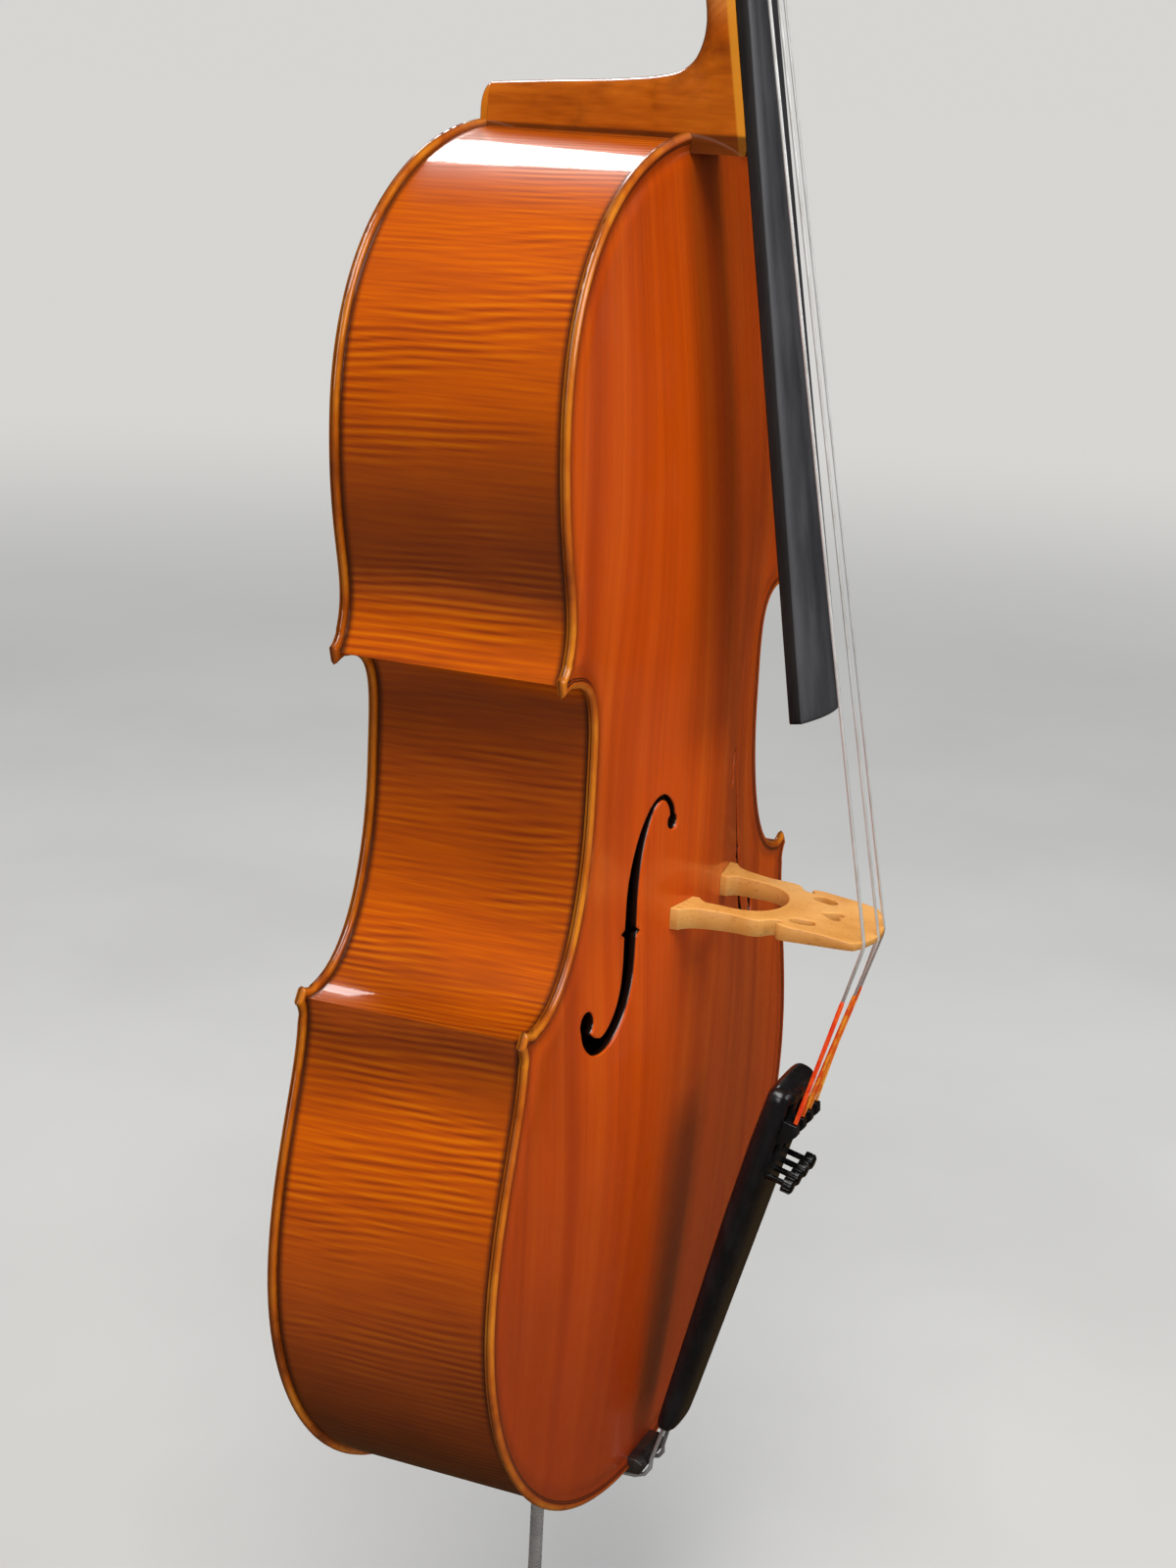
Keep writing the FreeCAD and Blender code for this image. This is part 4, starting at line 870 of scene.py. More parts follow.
def composite():
    """Satin black moulded composite with fine scuffs."""
    paint = Paint("black composite")
    here = paint.place()
    scuff = paint.noise(paint.stretch(here, 90.0, 90.0, 30.0), 1.0, 5, 0.65)
    orange = paint.noise(here, 900.0, 2, 0.5)
    colour = paint.mix(paint.bands(scuff, 0.4, 0.8), shade(13, 14, 17), shade(27, 27, 31))
    return paint.finish(Base_Color=colour, Roughness=paint.bands(scuff, 0.3, 0.8, 0.24, 0.4), Specular_IOR_Level=0.35,
                        Normal=paint.bump(orange, 0.04, 0.0003), Coat_Weight=0.2, Coat_Roughness=0.1)


def black_metal():
    paint = Paint("black metal")
    here = paint.place()
    wear = paint.noise(here, 260.0, 4, 0.6)
    colour = paint.mix(paint.bands(wear, 0.5, 0.85), shade(26, 26, 28), shade(92, 90, 88))
    return paint.finish(Base_Color=colour, Roughness=paint.bands(wear, 0.3, 0.8, 0.16, 0.36), Metallic=0.75,
                        Normal=paint.bump(wear, 0.05, 0.0003))


def steel(name, colour_low, colour_high, rough_low, rough_high, scratch=(60.0, 60.0, 900.0)):
    paint = Paint(name)
    here = paint.place()
    marks = paint.noise(paint.stretch(here, *scratch), 1.0, 3, 0.6)
    cloud = paint.noise(here, 35.0, 3, 0.5)
    colour = paint.mix(paint.bands(cloud, 0.3, 0.75), shade(*colour_low), shade(*colour_high))
    return paint.finish(Base_Color=colour, Metallic=0.6, Roughness=paint.bands(marks, 0.3, 0.75, rough_low, rough_high),
                        Normal=paint.bump(marks, 0.08, 0.0003))


def string_wire():
    """Steel string wound with flat ribbon: fine rings along it."""
    paint = Paint("string winding")
    run, around, z = paint.split(paint.flow())
    phase = paint.sum("MULTIPLY", run, 2 * math.pi / 0.55)
    rings = paint.sum("SINE", phase)
    here = paint.place()
    cloud = paint.noise(here, 60.0, 3, 0.5)
    colour = paint.mix(paint.bands(cloud, 0.3, 0.8), shade(214, 214, 212), shade(186, 184, 180))
    return paint.finish(Base_Color=colour, Metallic=0.4, Roughness=paint.bands(cloud, 0.3, 0.8, 0.28, 0.42),
                        Normal=paint.bump(rings, 0.12, 0.0001))


def silk(name, first, second):
    """Coloured silk thread lapped over the string end, in two mixed colours."""
    paint = Paint(name)
    run, around, z = paint.split(paint.flow())
    twist = paint.sum("ADD", paint.sum("MULTIPLY", run, 2 * math.pi / 0.9), paint.sum("MULTIPLY", around, 1.3))
    lap = paint.sum("SINE", twist)
    wide = paint.noise(paint.stretch(paint.flow(), 0.12, 0.3, 0.0), 1.0, 2, 0.5)
    colour = paint.mix(paint.bands(wide, 0.45, 0.55), shade(*first), shade(*second))
    # painted shade in the grooves between the laps of thread
    colour = paint.mix(paint.bands(lap, -1.0, 0.2, 0.2, 0.0), colour, shade(150, 30, 8))
    return paint.finish(Base_Color=colour, Roughness=paint.bands(lap, -1.0, 1.0, 0.75, 0.6), Specular_IOR_Level=0.2,
                        Normal=paint.bump(lap, 0.5, 0.00015))


# ======================= neck, pegbox and scroll =======================
def neck_point(x, u, n):
    """Point given across the neck, up the neck and out towards the strings."""
    c, s = math.cos(NECK_ANGLE), math.sin(NECK_ANGLE)
    return np.array([x, GLUE_Y + u * c - n * s, NUT_Z + u * s + n * c])


def tail_point(x, t, n):
    c, s = math.cos(TAIL_ANGLE), math.sin(TAIL_ANGLE)
    return np.array([x, TAIL_ORIGIN[1] + t * c - n * s, TAIL_ORIGIN[2] + t * s + n * c])


def board_half(u):
    return 16.0 + 15.5 * (-u / 580.0)


def plan_half(y):
    """Half width of the heel, narrow at the back button and wide under the fingerboard."""
    return np.interp(y, [-87.0, 59.0], [22.6, 14.2])


def neck_and_heel(material):
    """Sections swung from upright across the heel to square across the neck."""
    stations = []
    for y in np.linspace(58.8, -34.0, 22):
        lift_at = np.interp(y, [-44.0, -28.7, -7.5, 25.0, 59.0], [782.4, 779.6, 777.6, 775.6, 773.2])
        half = float(plan_half(y))
        stations.append(((y, 746.0), (y, lift_at), half, half, 7.0))
    swing = smooth_line([(-34.0, 780.4), (-42.0, 782.0), (-47.5, 784.3), (-51.5, 788.0), (-54.0, 793.5), (-55.3, 800.0),
                         (-55.9, 807.5)], 4)
    count = len(swing)
    for k, (y, z) in enumerate(swing[1:]):
        share = (k + 1) / (count - 1)
        base_y = -34.0 - 54.0 * min(1.0, share / 0.6)
        base_u = 0.0 if share < 0.6 else (share - 0.6) / 0.4
        low = neck_point(0, -294.6, 0)
        high = neck_point(0, -229.5, 0)
        base = (base_y, 744.0) if share < 0.6 else tuple((low + (high - low) * base_u)[1:])
        power = 7.0 - 4.7 * ease(share)
        stations.append((base, (y, z), float(plan_half(base_y)), float(plan_half(-62.0)) * 1.03, power))
    for u in np.linspace(-222.0, -14.0, 26):
        depth = 21.0 + (19.0 - 21.0) * (u + 222.0) / 222.0
        base = neck_point(0, u, 0)
        back = neck_point(0, u, -depth)
        half = board_half(u)
        stations.append((tuple(base[1:]), tuple(back[1:]), half, half, 2.3))
    turn = np.linspace(0, math.pi, 33)
    verts = []
    for (by, bz), (oy, oz), half_in, half_out, power in stations:
        side = np.sign(np.cos(turn)) * np.abs(np.cos(turn)) ** (2 / power)
        out = np.abs(np.sin(turn)) ** (2 / power)
        half = half_in + (half_out - half_in) * out
        y = by + (oy - by) * out
        z = bz + (oz - bz) * out
        verts.append(np.stack([side * half, y, z], 1))
    rows = len(verts)
    faces = grid_faces(rows, len(turn), close_columns=True)
    faces.append(tuple(range(len(turn))))
    faces.append(tuple(range(rows * len(turn) - 1, (rows - 1) * len(turn) - 1, -1)))
    verts = np.vstack(verts)
    return verts, faces, verts * 0.0


def box_front(u):
    return -0.185 * (u - 9.0)


def pegbox_shell():
    """Walls, floor and fluted back of the pegbox, as rings of points up its length."""
    back_line = smooth_line([(-20, -18.5), (-12, -19.2), (-5, -22.5), (1, -28.5), (7, -34.5), (16, -38.5),
                             (38, -41.0), (60, -43.6), (90, -47.6), (120, -52.2), (150, -57.4), (170, -60.2)], 6)
    half_line = np.array([(-20, 16.2), (-12, 16.4), (-6, 17.5), (0, 19.4), (8, 20.9), (20, 20.4), (60, 18.6),
                          (110, 16.2), (145, 15.0), (170, 15.0)])
    front_line = np.array([(-20, -1.0), (0, -0.4), (9, 0.0), (60, box_front(60)), (140, box_front(140)),
                           (150, -27.0), (158, -33.0), (170, -38.0)])
    stops = sorted(list(np.linspace(-18, 12.6, 12)) + [13.0, 13.6] + list(np.linspace(16, 124, 22))
                   + [127.0, 129.0, 130.0, 130.4] + list(np.linspace(134, 168, 10)))
    rings = []
    for u in stops:
        half = float(np.interp(u, half_line[:, 0], half_line[:, 1]))
        back = float(np.interp(u, back_line[:, 0], back_line[:, 1]))
        front = float(np.interp(u, front_line[:, 0], front_line[:, 1]))
        open_here = 13.0 <= u <= 130.0
        inner = 12.9 - 5.1 * (u - 12.0) / 123.0 if open_here else half * 0.55
        floor = float(np.interp(u, [13, 60, 105, 128], [-29, -37, -43.8, -46.5])) if open_here else front
        if u > 127.5 and open_here:
            floor = front - 14.0
        flute = 2.4 * ease((u - 20) / 30.0)
        right = [(inner, front), ((inner + half) / 2, front + 0.1), (half - 1.2, front), (half - 0.3, front - 0.4),
                 (half, front - 1.4), (half, front - 8), (half, (front + back) / 2), (half, back + 7),
                 (half - 0.3, back + 3.2), (half - 1.4, back + 1.4), (half - 3.0, back + 0.8 + flute * 0.1)]
        for share in (0.7, 0.5, 0.32, 0.16, 0.07):
            wave = math.sin(math.pi * min(1.0, share / 0.78)) ** 1.2
            right.append(((half - 3.0) * share, back + flute * wave))
        left = [(-x, n) for x, n in reversed(right)]
        cavity = [(-inner, floor + 4), (-inner + 1.2, floor + 1.2), (-inner + 4, floor), (0, floor - 0.3),
                  (inner - 4, floor), (inner - 1.2, floor + 1.2), (inner, floor + 4)]
        if not open_here:
            cavity = [(x, front) for x, n in cavity]
        ring = right + [(0.0, back + flute * 0.0)] + left + cavity
        rings.append([neck_point(x, u, n) for x, n in ring])
    count = len(rings[0])
    faces = grid_faces(len(rings), count, close_columns=True, flip=True)
    faces.append(tuple(range(count)))
    faces.append(tuple(range(len(rings) * count - 1, (len(rings) - 1) * count - 1, -1)))
    verts = np.array(rings).reshape(-1, 3)
    return verts, faces, verts * 0.0


SCROLL_U, SCROLL_N = 168.0, -27.0
SCROLL_END = 12.6


def scroll_radius(turn):
    return 33.0 * np.exp(-0.12 * np.asarray(turn, float))


def scroll_half(turn):
    return 15.0 + 15.5 * (np.clip(turn, 0, 13.2) / 13.2) ** 1.25


def scroll_point(turn, radius, x):
    return neck_point(x, SCROLL_U + radius * math.sin(turn), SCROLL_N - radius * math.cos(turn))


def scroll():
    """Carved volute: a hollowed turn on both faces and a fluted rim round the outside."""
    parts = []
    eye_radius = float(scroll_radius(SCROLL_END))
    turns = np.linspace(0.0, SCROLL_END, 190)
    shares = [0.0, 0.03, 0.09, 0.2, 0.35, 0.5, 0.65, 0.8, 0.9, 0.96, 1.0]
    for side in (-1, 1):
        verts = []
        for turn in turns:
            outer = float(scroll_radius(turn))
            inner = max(float(scroll_radius(turn + 2 * math.pi)), eye_radius)
            inner = min(inner, outer - 0.05)
            rim = float(scroll_half(turn))
            next_rim = float(scroll_half(min(turn + 2 * math.pi, 13.2)))
            depth = min(5.5, (outer - inner) * 0.45)
            for share in shares:
                radius = outer + (inner - outer) * share
                dish = depth * math.sin(share * math.pi / 2) ** 0.8
                x = rim - dish - (0.7 * (1 - share / 0.03) if share < 0.03 else 0.0)
                verts.append(scroll_point(turn, radius, side * x))
            verts.append(scroll_point(turn, inner, side * (next_rim - 0.7)))
        faces = grid_faces(len(turns), len(shares) + 1, flip=side < 0)
        verts = np.array(verts)
        parts.append((verts, faces, verts * 0.0))
        eye_top = float(scroll_half(13.2)) + 0.4
        profile = [(0, eye_radius + 0.1), (eye_top - 1.6, eye_radius + 0.1), (eye_top - 0.6, eye_radius - 0.4),
                   (eye_top, eye_radius - 1.4), (eye_top + 0.3, eye_radius * 0.4), (eye_top + 0.35, 0.01)]
        v, f, w = lathe(profile, neck_point(0, SCROLL_U, SCROLL_N), (side, 0, 0), 40)
        parts.append((v, f, w * 0.0))
    rim_turns = np.linspace(-0.10, 6.6, 120)
    across = np.linspace(-1, 1, 25)
    verts = []
    for turn in rim_turns:
        half = float(scroll_half(max(turn, 0.0))) - 0.7
        flute = 2.6 * ease((6.0 - turn) / 1.5)
        for v in across:
            dip = flute * math.sin(math.pi * min(1.0, abs(v) / 0.86)) ** 1.2
            edge = 0.25 * max(0.0, (abs(v) - 0.93) / 0.07)
            verts.append(scroll_point(turn, float(scroll_radius(turn)) - dip - edge, v * half))
    verts = np.array(verts)
    parts.append((verts, grid_faces(len(rim_turns), len(across)), verts * 0.0))
    band_turns = np.linspace(4.2, 6.9, 30)
    verts = []
    for turn in band_turns:
        for v in np.linspace(-1, 1, 9):
            verts.append(scroll_point(turn, float(scroll_radius(turn)), v * (float(scroll_half(turn)) - 0.7)))
    verts = np.array(verts)
    parts.append((verts, grid_faces(len(band_turns), 9), verts * 0.0))
    return join(*parts)


# ======================= fingerboard and bridge =======================
def fingerboard(material):
    stops = [-580.0, -579.6, -579.0, -578.0] + list(np.linspace(-572, -2, 60)) + [-0.4, -0.05]
    rings = []
    flow = []
    for u in stops:
        half = board_half(u)
        ends = min(-u, u + 580.0)
        ease_in = 0.9 * max(0.0, 1 - ends / 1.4) ** 2
        base = 6.7 - math.sqrt(65.0 ** 2 - half ** 2)
        ring = []
        for share in np.linspace(-1, 1, 23):
            x = share * (half - 0.8)
            ring.append((x, base + math.sqrt(65.0 ** 2 - x * x) - ease_in))
        ring += [(half - 0.25 - ease_in, 6.5), (half - ease_in, 5.9), (half - ease_in, 3.0), (half - ease_in, 0.7),
                 (half - 0.6 - ease_in, 0.05)]
        hollow = 4.0 * ease((-300.0 - u) / 24.0)
        for share in np.linspace(0.8, -0.8, 11):
            x = share * half
            dip = hollow * max(0.0, 1 - (share / 0.74) ** 2)
            ring.append((x, 0.05 + dip))
        ring += [(-half + 0.6 + ease_in, 0.05), (-half + ease_in, 0.7), (-half + ease_in, 3.0), (-half + ease_in, 5.9),
                 (-half + 0.25 + ease_in, 6.5)]
        rings.append([neck_point(x, u, n) for x, n in ring])
        flow.append([(u, x, n) for x, n in ring])
    count = len(rings[0])
    faces = grid_faces(len(rings), count, close_columns=True, flip=True)
    faces.append(tuple(range(count)))
    faces.append(tuple(range(len(rings) * count - 1, (len(rings) - 1) * count - 1, -1)))
    piece("fingerboard_visual", np.array(rings).reshape(-1, 3), faces, material, sharp=40,
          replaces=["fingerboard"], flow=np.array(flow).reshape(-1, 3))


def crown(x):
    """Height of the bridge top, a little higher on the bass side."""
    x = np.asarray(x, float)
    return 183.0 - 0.07 * x - (54.0 - np.sqrt(54.0 ** 2 - x ** 2))


def bridge(material):
    def edge(*points):
        return bezier(points, 40)

    def flank(side):
        end = float(crown(side * 29))
        return np.vstack([
            edge((0, 128.5), (13.5, 128.5), (24.8, 120), (24.8, 104)),
            edge((24.8, 104), (24.8, 99), (25.4, 95), (25.2, 92))[1:],
            edge((25.2, 92), (24.6, 89.5), (22.5, 88), (20.6, 87))[1:],
            even([(20.7, 86), (21.4, 78)], 1.2),
            even([(21.8, 77), (45.5, 77)], 1.6),
            even([(46, 77.5), (46, 83.2)], 1.2),
            edge((46, 84), (42, 86), (38, 89.5), (36.8, 97)),
            edge((36.8, 97), (35.4, 104), (34.2, 109), (34.8, 115))[1:],
            edge((34.8, 115), (35.6, 120.5), (34.8, 125.5), (31.2, 127.5))[1:],
            edge((31.2, 127.5), (28, 129), (26.2, 131.5), (26.6, 135.2))[1:],
            edge((26.6, 135.2), (27.6, 136.6), (29.4, 135.2), (30.6, 133.2))[1:],
            edge((30.6, 133.2), (33.2, 134.6), (33.6, 138.5), (33, 143))[1:],
            edge((33, 143), (31.8, 152), (31.6, 160), (30.8, 168))[1:],
            edge((30.8, 168), (30.7, 170), (30.2, end - 1.5), (29, end))[1:],
        ]) * (side, 1)

    xs = np.linspace(29, -29, 60)[1:-1]
    ridge = np.stack([xs, crown(xs)], 1)
    loop = even(np.vstack([flank(1), ridge, flank(-1)[::-1]]), 0.7)[:-1]
    holes = []
    for side in (-1, 1):
        low, high = np.array([side * 20.8, 141.6]), np.array([side * 19.4, 147.6])
        axis = (high - low) / np.linalg.norm(high - low)
        angle = math.atan2(axis[1], axis[0])
        cap = np.linspace(-math.pi / 2, math.pi / 2, 12)
        top = high + 3.9 * np.stack([np.cos(angle + cap), np.sin(angle + cap)], 1)
        bottom = low - 3.9 * np.stack([np.cos(angle + cap), np.sin(angle + cap)], 1)
        holes.append(even(np.vstack([top, bottom, top[:1]]), 0.8)[:-1])
    lobe = np.linspace(math.radians(-38), math.radians(180), 22)
    right = np.stack([3.2 + 3.1 * np.cos(lobe), 157.3 + 3.1 * np.sin(lobe)], 1)
    heart = np.vstack([[(0, 147.5)], right[right[:, 0] > 0.05], [(0, 158.4)]])
    heart = np.vstack([heart, flip_x(heart)[1:-1]])
    holes.append(even(np.vstack([heart, heart[:1]]), 0.8)[:-1])
    rings = []
    for source in [loop] + holes:
        step = inward(source)
        for d in (0.35, 0.8, 1.6, 3.0):
            for sign in (-1, 1):
                rings.append(source + sign * step * d)
    loose = np.vstack(rings)
    gx, gz = np.meshgrid(np.arange(-46, 47, 2.4), np.arange(78, 185, 2.4))
    loose = np.vstack([loose, np.stack([gx.ravel(), gz.ravel()], 1)])
    reach = distance_to(loose, loop)
    wanted = inside(loose, loop) & (reach > 0.3)
    for hole in holes:
        gap = distance_to(loose, hole)
        wanted &= ~inside(loose, hole) & (gap > 0.3)
    loose = loose[wanted]

    def keep(centres):
        good = inside(centres, loop)
        for hole in holes:
            good &= ~inside(centres, hole)
        return good

    flat, faces = mesh_area([loop] + holes, loose, keep)
    rim = distance_to(flat, loop)
    for hole in holes:
        rim = np.minimum(rim, distance_to(flat, hole))
    soft = 0.55 * np.clip(1 - rim / 0.8, 0, 1) ** 2
    x, h = flat[:, 0], flat[:, 1]
    surface = -(RIB_HALF + PLATE + arch(x, np.full(len(x), 352.0), TOP_RISE))
    foot = -surface + 0.02
    h = np.where(h < 84.0, np.maximum(h, foot), h)
    high_z = np.interp(h, [76, 84, 130, 160, 187], [357.7, 357.4, 354.9, 352.5, 348.5]) - soft
    low_z = 345.5 + soft
    count = len(flat)
    front = np.stack([x, -h, high_z], 1)
    back = np.stack([x, -h, low_z], 1)
    top_faces = faces[:, ::-1]
    walls = [(a, a + count, b + count, b) for a, b in border_edges(top_faces.tolist())]
    all_faces = top_faces.tolist() + (faces + count).tolist() + walls
    piece("bridge_visual", np.vstack([front, back]), all_faces, material, sharp=55, replaces=["bridge"],
          flow=np.zeros((2 * count, 3)))


# ======================= strings =======================
def peg_place(name):
    u, side = PEGS[name]
    return u, box_front(u) - 15.0, side


def winding_radius(name):
    return 7.05 + STRINGS[name][0]


def string_path(name):
    """Tuner hook, bridge, nut and the top of the winding on the peg."""
    radius, nut_x, bridge_x, tail_x = STRINGS[name]
    hook = tail_point(tail_x, 219.0, 20.0)
    over = np.array([bridge_x, -(float(crown(bridge_x)) + radius - 0.3), 347.0])
    level = 6.7 + math.sqrt(65.0 ** 2 - nut_x ** 2) - math.sqrt(65.0 ** 2 - 16.0 ** 2)
    nut_u, nut_n = 4.2, level + 0.4 + radius
    peg_u, peg_n, side = peg_place(name)
    reach = winding_radius(name) + 2 * radius + 0.15
    away_u, away_n = nut_u - peg_u, nut_n - peg_n
    swing = math.acos(reach / math.hypot(away_u, away_n))
    base = math.atan2(away_n, away_u)
    touch = (peg_u + reach * math.cos(base - swing), peg_n + reach * math.sin(base - swing))
    start = -5.5 if side < 0 else 5.5
    return [hook, over, neck_point(nut_x, nut_u, nut_n), neck_point(start, *touch)]


def rounded_path(points, bend=3.0):
    """Straight runs with the corners eased."""
    path = [points[0]]
    for a, b, c in zip(points, points[1:], points[2:]):
        start = b + (a - b) / np.linalg.norm(a - b) * bend
        end = b + (c - b) / np.linalg.norm(c - b) * bend
        for t in np.linspace(0, 1, 7):
            path.append((1 - t) ** 2 * start + 2 * t * (1 - t) * b + t * t * end)
    path.append(points[-1])
    return np.array(path)


SILKS = {"c": ((236, 60, 14), (248, 88, 22)), "g": ((250, 152, 38), (240, 88, 16)),
         "d": ((244, 92, 18), (250, 140, 34)), "a": ((252, 186, 60), (246, 134, 26))}


def strings(wire):
    for name, (radius, nut_x, bridge_x, tail_x) in STRINGS.items():
        hook, over, nut, touch = (np.asarray(p, float) for p in string_path(name))
        run = (over - hook) / np.linalg.norm(over - hook)
        silk_end = hook + run * 79.0
        wrap = silk("silk " + name, *SILKS[name])
        v, f, w = tube(rounded_path([silk_end, over, nut, touch]), radius, 10)
        piece("string_" + name + "_wire", v, f, wire, replaces=["string_" + name], flow=w)
        path = np.array([hook, hook + run * 0.6, hook + run * 75.0, hook + run * 78.0, silk_end, silk_end + run * 0.4])
        v, f, w = tube(path, [radius + 0.2, radius + 0.32, radius + 0.32, radius + 0.25, radius + 0.12, radius + 0.02], 12)
        piece("string_" + name + "_silk", v, f, wrap, replaces=["string_" + name], flow=w)
        winding(name, wrap)


def winding(name, material):
    """String end laid round the peg as a close coil."""
    radius = STRINGS[name][0]
    u, n, side = peg_place(name)
    start = -5.5 if side < 0 else 5.5
    wide = winding_radius(name)
    path = []
    turns = 4.0
    for k in range(int(turns * 28) + 1):
        a = 2 * math.pi * k / 28
        x = start - side * (k / 28 - 0.5) * radius * 1.96
        path.append(neck_point(x, u + wide * math.cos(a), n + wide * math.sin(a)))
    v, f, w = tube(path, radius * 0.98, 10)
    piece("winding_" + name + "_coil", v, f, material, body="peg_" + name + "_body", replaces=["winding_" + name],
          flow=w)


# ======================= pegs =======================
def peg(name, material):
    """Turned shaft and collar with a flat, rounded thumb piece."""
    u, n, side = peg_place(name)
    half = 21.0 - 6.0 * (u + 5) / 150.0
    centre = neck_point(0, u, n)
    profile = [(-half - 0.5, 0.01), (-half - 0.5, 5.2), (-half - 0.1, 5.9), (half + 2.6, 7.36), (half + 3.0, 7.5),
               (half + 3.1, 8.9), (half + 3.6, 9.45), (half + 4.6, 9.5), (half + 5.4, 9.0), (half + 5.8, 8.0),
               (half + 6.2, 7.6), (half + 7.2, 7.4), (half + 9.0, 6.2), (half + 12.0, 5.2), (half + 15.0, 4.8),
               (half + 18.0, 4.6)]
    v1, f1, w1 = lathe(profile, centre, (side, 0, 0), 40)
    verts = []
    rows, columns = 40, 32
    for i in range(rows):
        s = i / (rows - 1)
        x = half + 11.5 + 40.3 * s
        wide = 14.4 * math.sqrt(max(0.0, 1 - (2 * s - 1) ** 2)) ** 0.9
        thick = 1.5 + 4.6 * (1 - s) ** 0.7 * math.sin(math.pi * min(1, s * 1.05 + 0.06)) ** 0.5
        thick = max(0.05, min(thick, wide * 0.95 + 0.05))
        for k in range(columns):
            a = 2 * math.pi * k / columns
            c, d = math.cos(a), math.sin(a)
            across = wide * np.sign(c) * abs(c) ** 0.9
            dish = 1.0 - 0.28 * math.sin(math.pi * s) * (1 - abs(c)) ** 1.5
            verts.append(neck_point(side * x, u + across, n + thick * np.sign(d) * abs(d) ** 0.8 * dish))
    faces = grid_faces(rows, columns, close_columns=True, flip=side > 0)
    v2 = np.array(verts)
    pip = [(half + 49.0, 0.01), (half + 49.2, 1.6), (half + 50.2, 2.4), (half + 51.6, 2.6), (half + 53.0, 2.1),
           (half + 54.0, 1.0), (half + 54.2, 0.01)]
    v3, f3, w3 = lathe(pip, centre, (side, 0, 0), 24)
    v, f, w = join((v1, f1, w1), (v2, faces, v2 * 0), (v3, f3, w3))
    piece("peg_" + name + "_visual", v, f, material, body="peg_" + name + "_body", replaces=["peg_" + name],
          sharp=45, flow=w)


# ======================= tailpiece =======================
def solid_object(name, verts, faces):
    mesh = bpy.data.meshes.new(name)
    mesh.from_pydata((np.array(verts) * 0.001 + np.array([0, 0, LIFT * 0.001])).tolist(), [], faces)
    obj = bpy.data.objects.new(name, mesh)
    bpy.context.scene.collection.objects.link(obj)
    return obj


def tail_prism(profile, half, x):
    """Straight cutter with the given side view (up the tailpiece, out of it)."""
    verts = [tail_point(x - half, t, n) for t, n in profile] + [tail_point(x + half, t, n) for t, n in profile]
    count = len(profile)
    faces = [(k, (k + 1) % count, count + (k + 1) % count, count + k) for k in range(count)]
    faces += [tuple(range(count - 1, -1, -1)), tuple(range(count, 2 * count))]
    return verts, faces


def tailpiece(material):
    """Moulded body with a domed face and round ends, slotted for the tuners."""
    length = 236.0
    stops = [0.0, 0.5, 1.5, 3.0, 5.0, 7.5] + list(np.linspace(12, 224, 54)) + [228.0, 231.0, 233.5, 235.0, 235.7, 236.0]
    turn = np.linspace(0, 2 * math.pi, 64, endpoint=False)
    verts = []
    for t in stops:
        near = min(t / 8.0, (length - t) / 6.0, 1.0)
        rounded = math.sqrt(max(0.0, 1 - (1 - near) ** 2))
        half = np.interp(t, [0, 8, 200, 215, 236], [16.4, 16.7, 26.5, 26.2, 25.0]) * (0.62 + 0.38 * rounded)
        low = np.interp(t, [0, 150, 200, 236], [0.0, -1.5, -1.0, 0.0])
        high = np.interp(t, [0, 20, 120, 196, 236], [12.0, 12.8, 14.7, 16.0, 16.2])
        middle = low + (high - low) * 0.45
        up = (high - middle) * (0.25 + 0.75 * rounded)
        down = (middle - low) * (0.25 + 0.75 * rounded)
        for a in turn:
            c, d = math.cos(a), math.sin(a)
            x = half * np.sign(c) * abs(c) ** 0.55
            n = middle + (up * d ** 0.85 if d > 0 else -down * (-d) ** 0.4)
            verts.append(tail_point(x, t, n))
    rows, around = len(stops), len(turn)
    faces = grid_faces(rows, around, close_columns=True)
    faces.append(tuple(range(around - 1, -1, -1)))
    faces.append(tuple(range((rows - 1) * around, rows * around)))
    faces = [tuple(int(i) for i in f) for f in faces]
    body = solid_object("tailpiece_blank", verts, faces)
    slot = [(158, -5), (158, 7.5), (175, 9), (196, 9), (196, 30), (229, 30), (229, -5)]
    hole = [(181.2, 2), (181.2, 30), (184.8, 30), (184.8, 2)]
    helpers = [body]
    for row in STRINGS.values():
        for profile, half in ((slot, 3.2), (hole, 1.8)):
            cutter = solid_object("cutter", *tail_prism(profile, half, row[3]))
            work = bmesh.new()
            work.from_mesh(cutter.data)
            bmesh.ops.recalc_face_normals(work, faces=work.faces)
            work.to_mesh(cutter.data)
            work.free()
            helpers.append(cutter)
            cut = body.modifiers.new("cut", "BOOLEAN")
            cut.object = cutter
            cut.operation = "DIFFERENCE"
            cut.solver = "EXACT"
    bpy.context.view_layer.update()
    graph = bpy.context.evaluated_depsgraph_get()
    mesh = bpy.data.meshes.new_from_object(body.evaluated_get(graph))
    for helper in helpers:
        bpy.data.objects.remove(helper)
    mesh.name = "tailpiece_visual"
    mesh.materials.clear()
    mesh.materials.append(material)
    mesh.shade_smooth()
    mark_sharp(mesh, 40)
    obj = bpy.data.objects.new("tailpiece_visual", mesh)
    bpy.context.scene.collection.objects.link(obj)
    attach(obj, BODY)
    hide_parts("tailpiece")


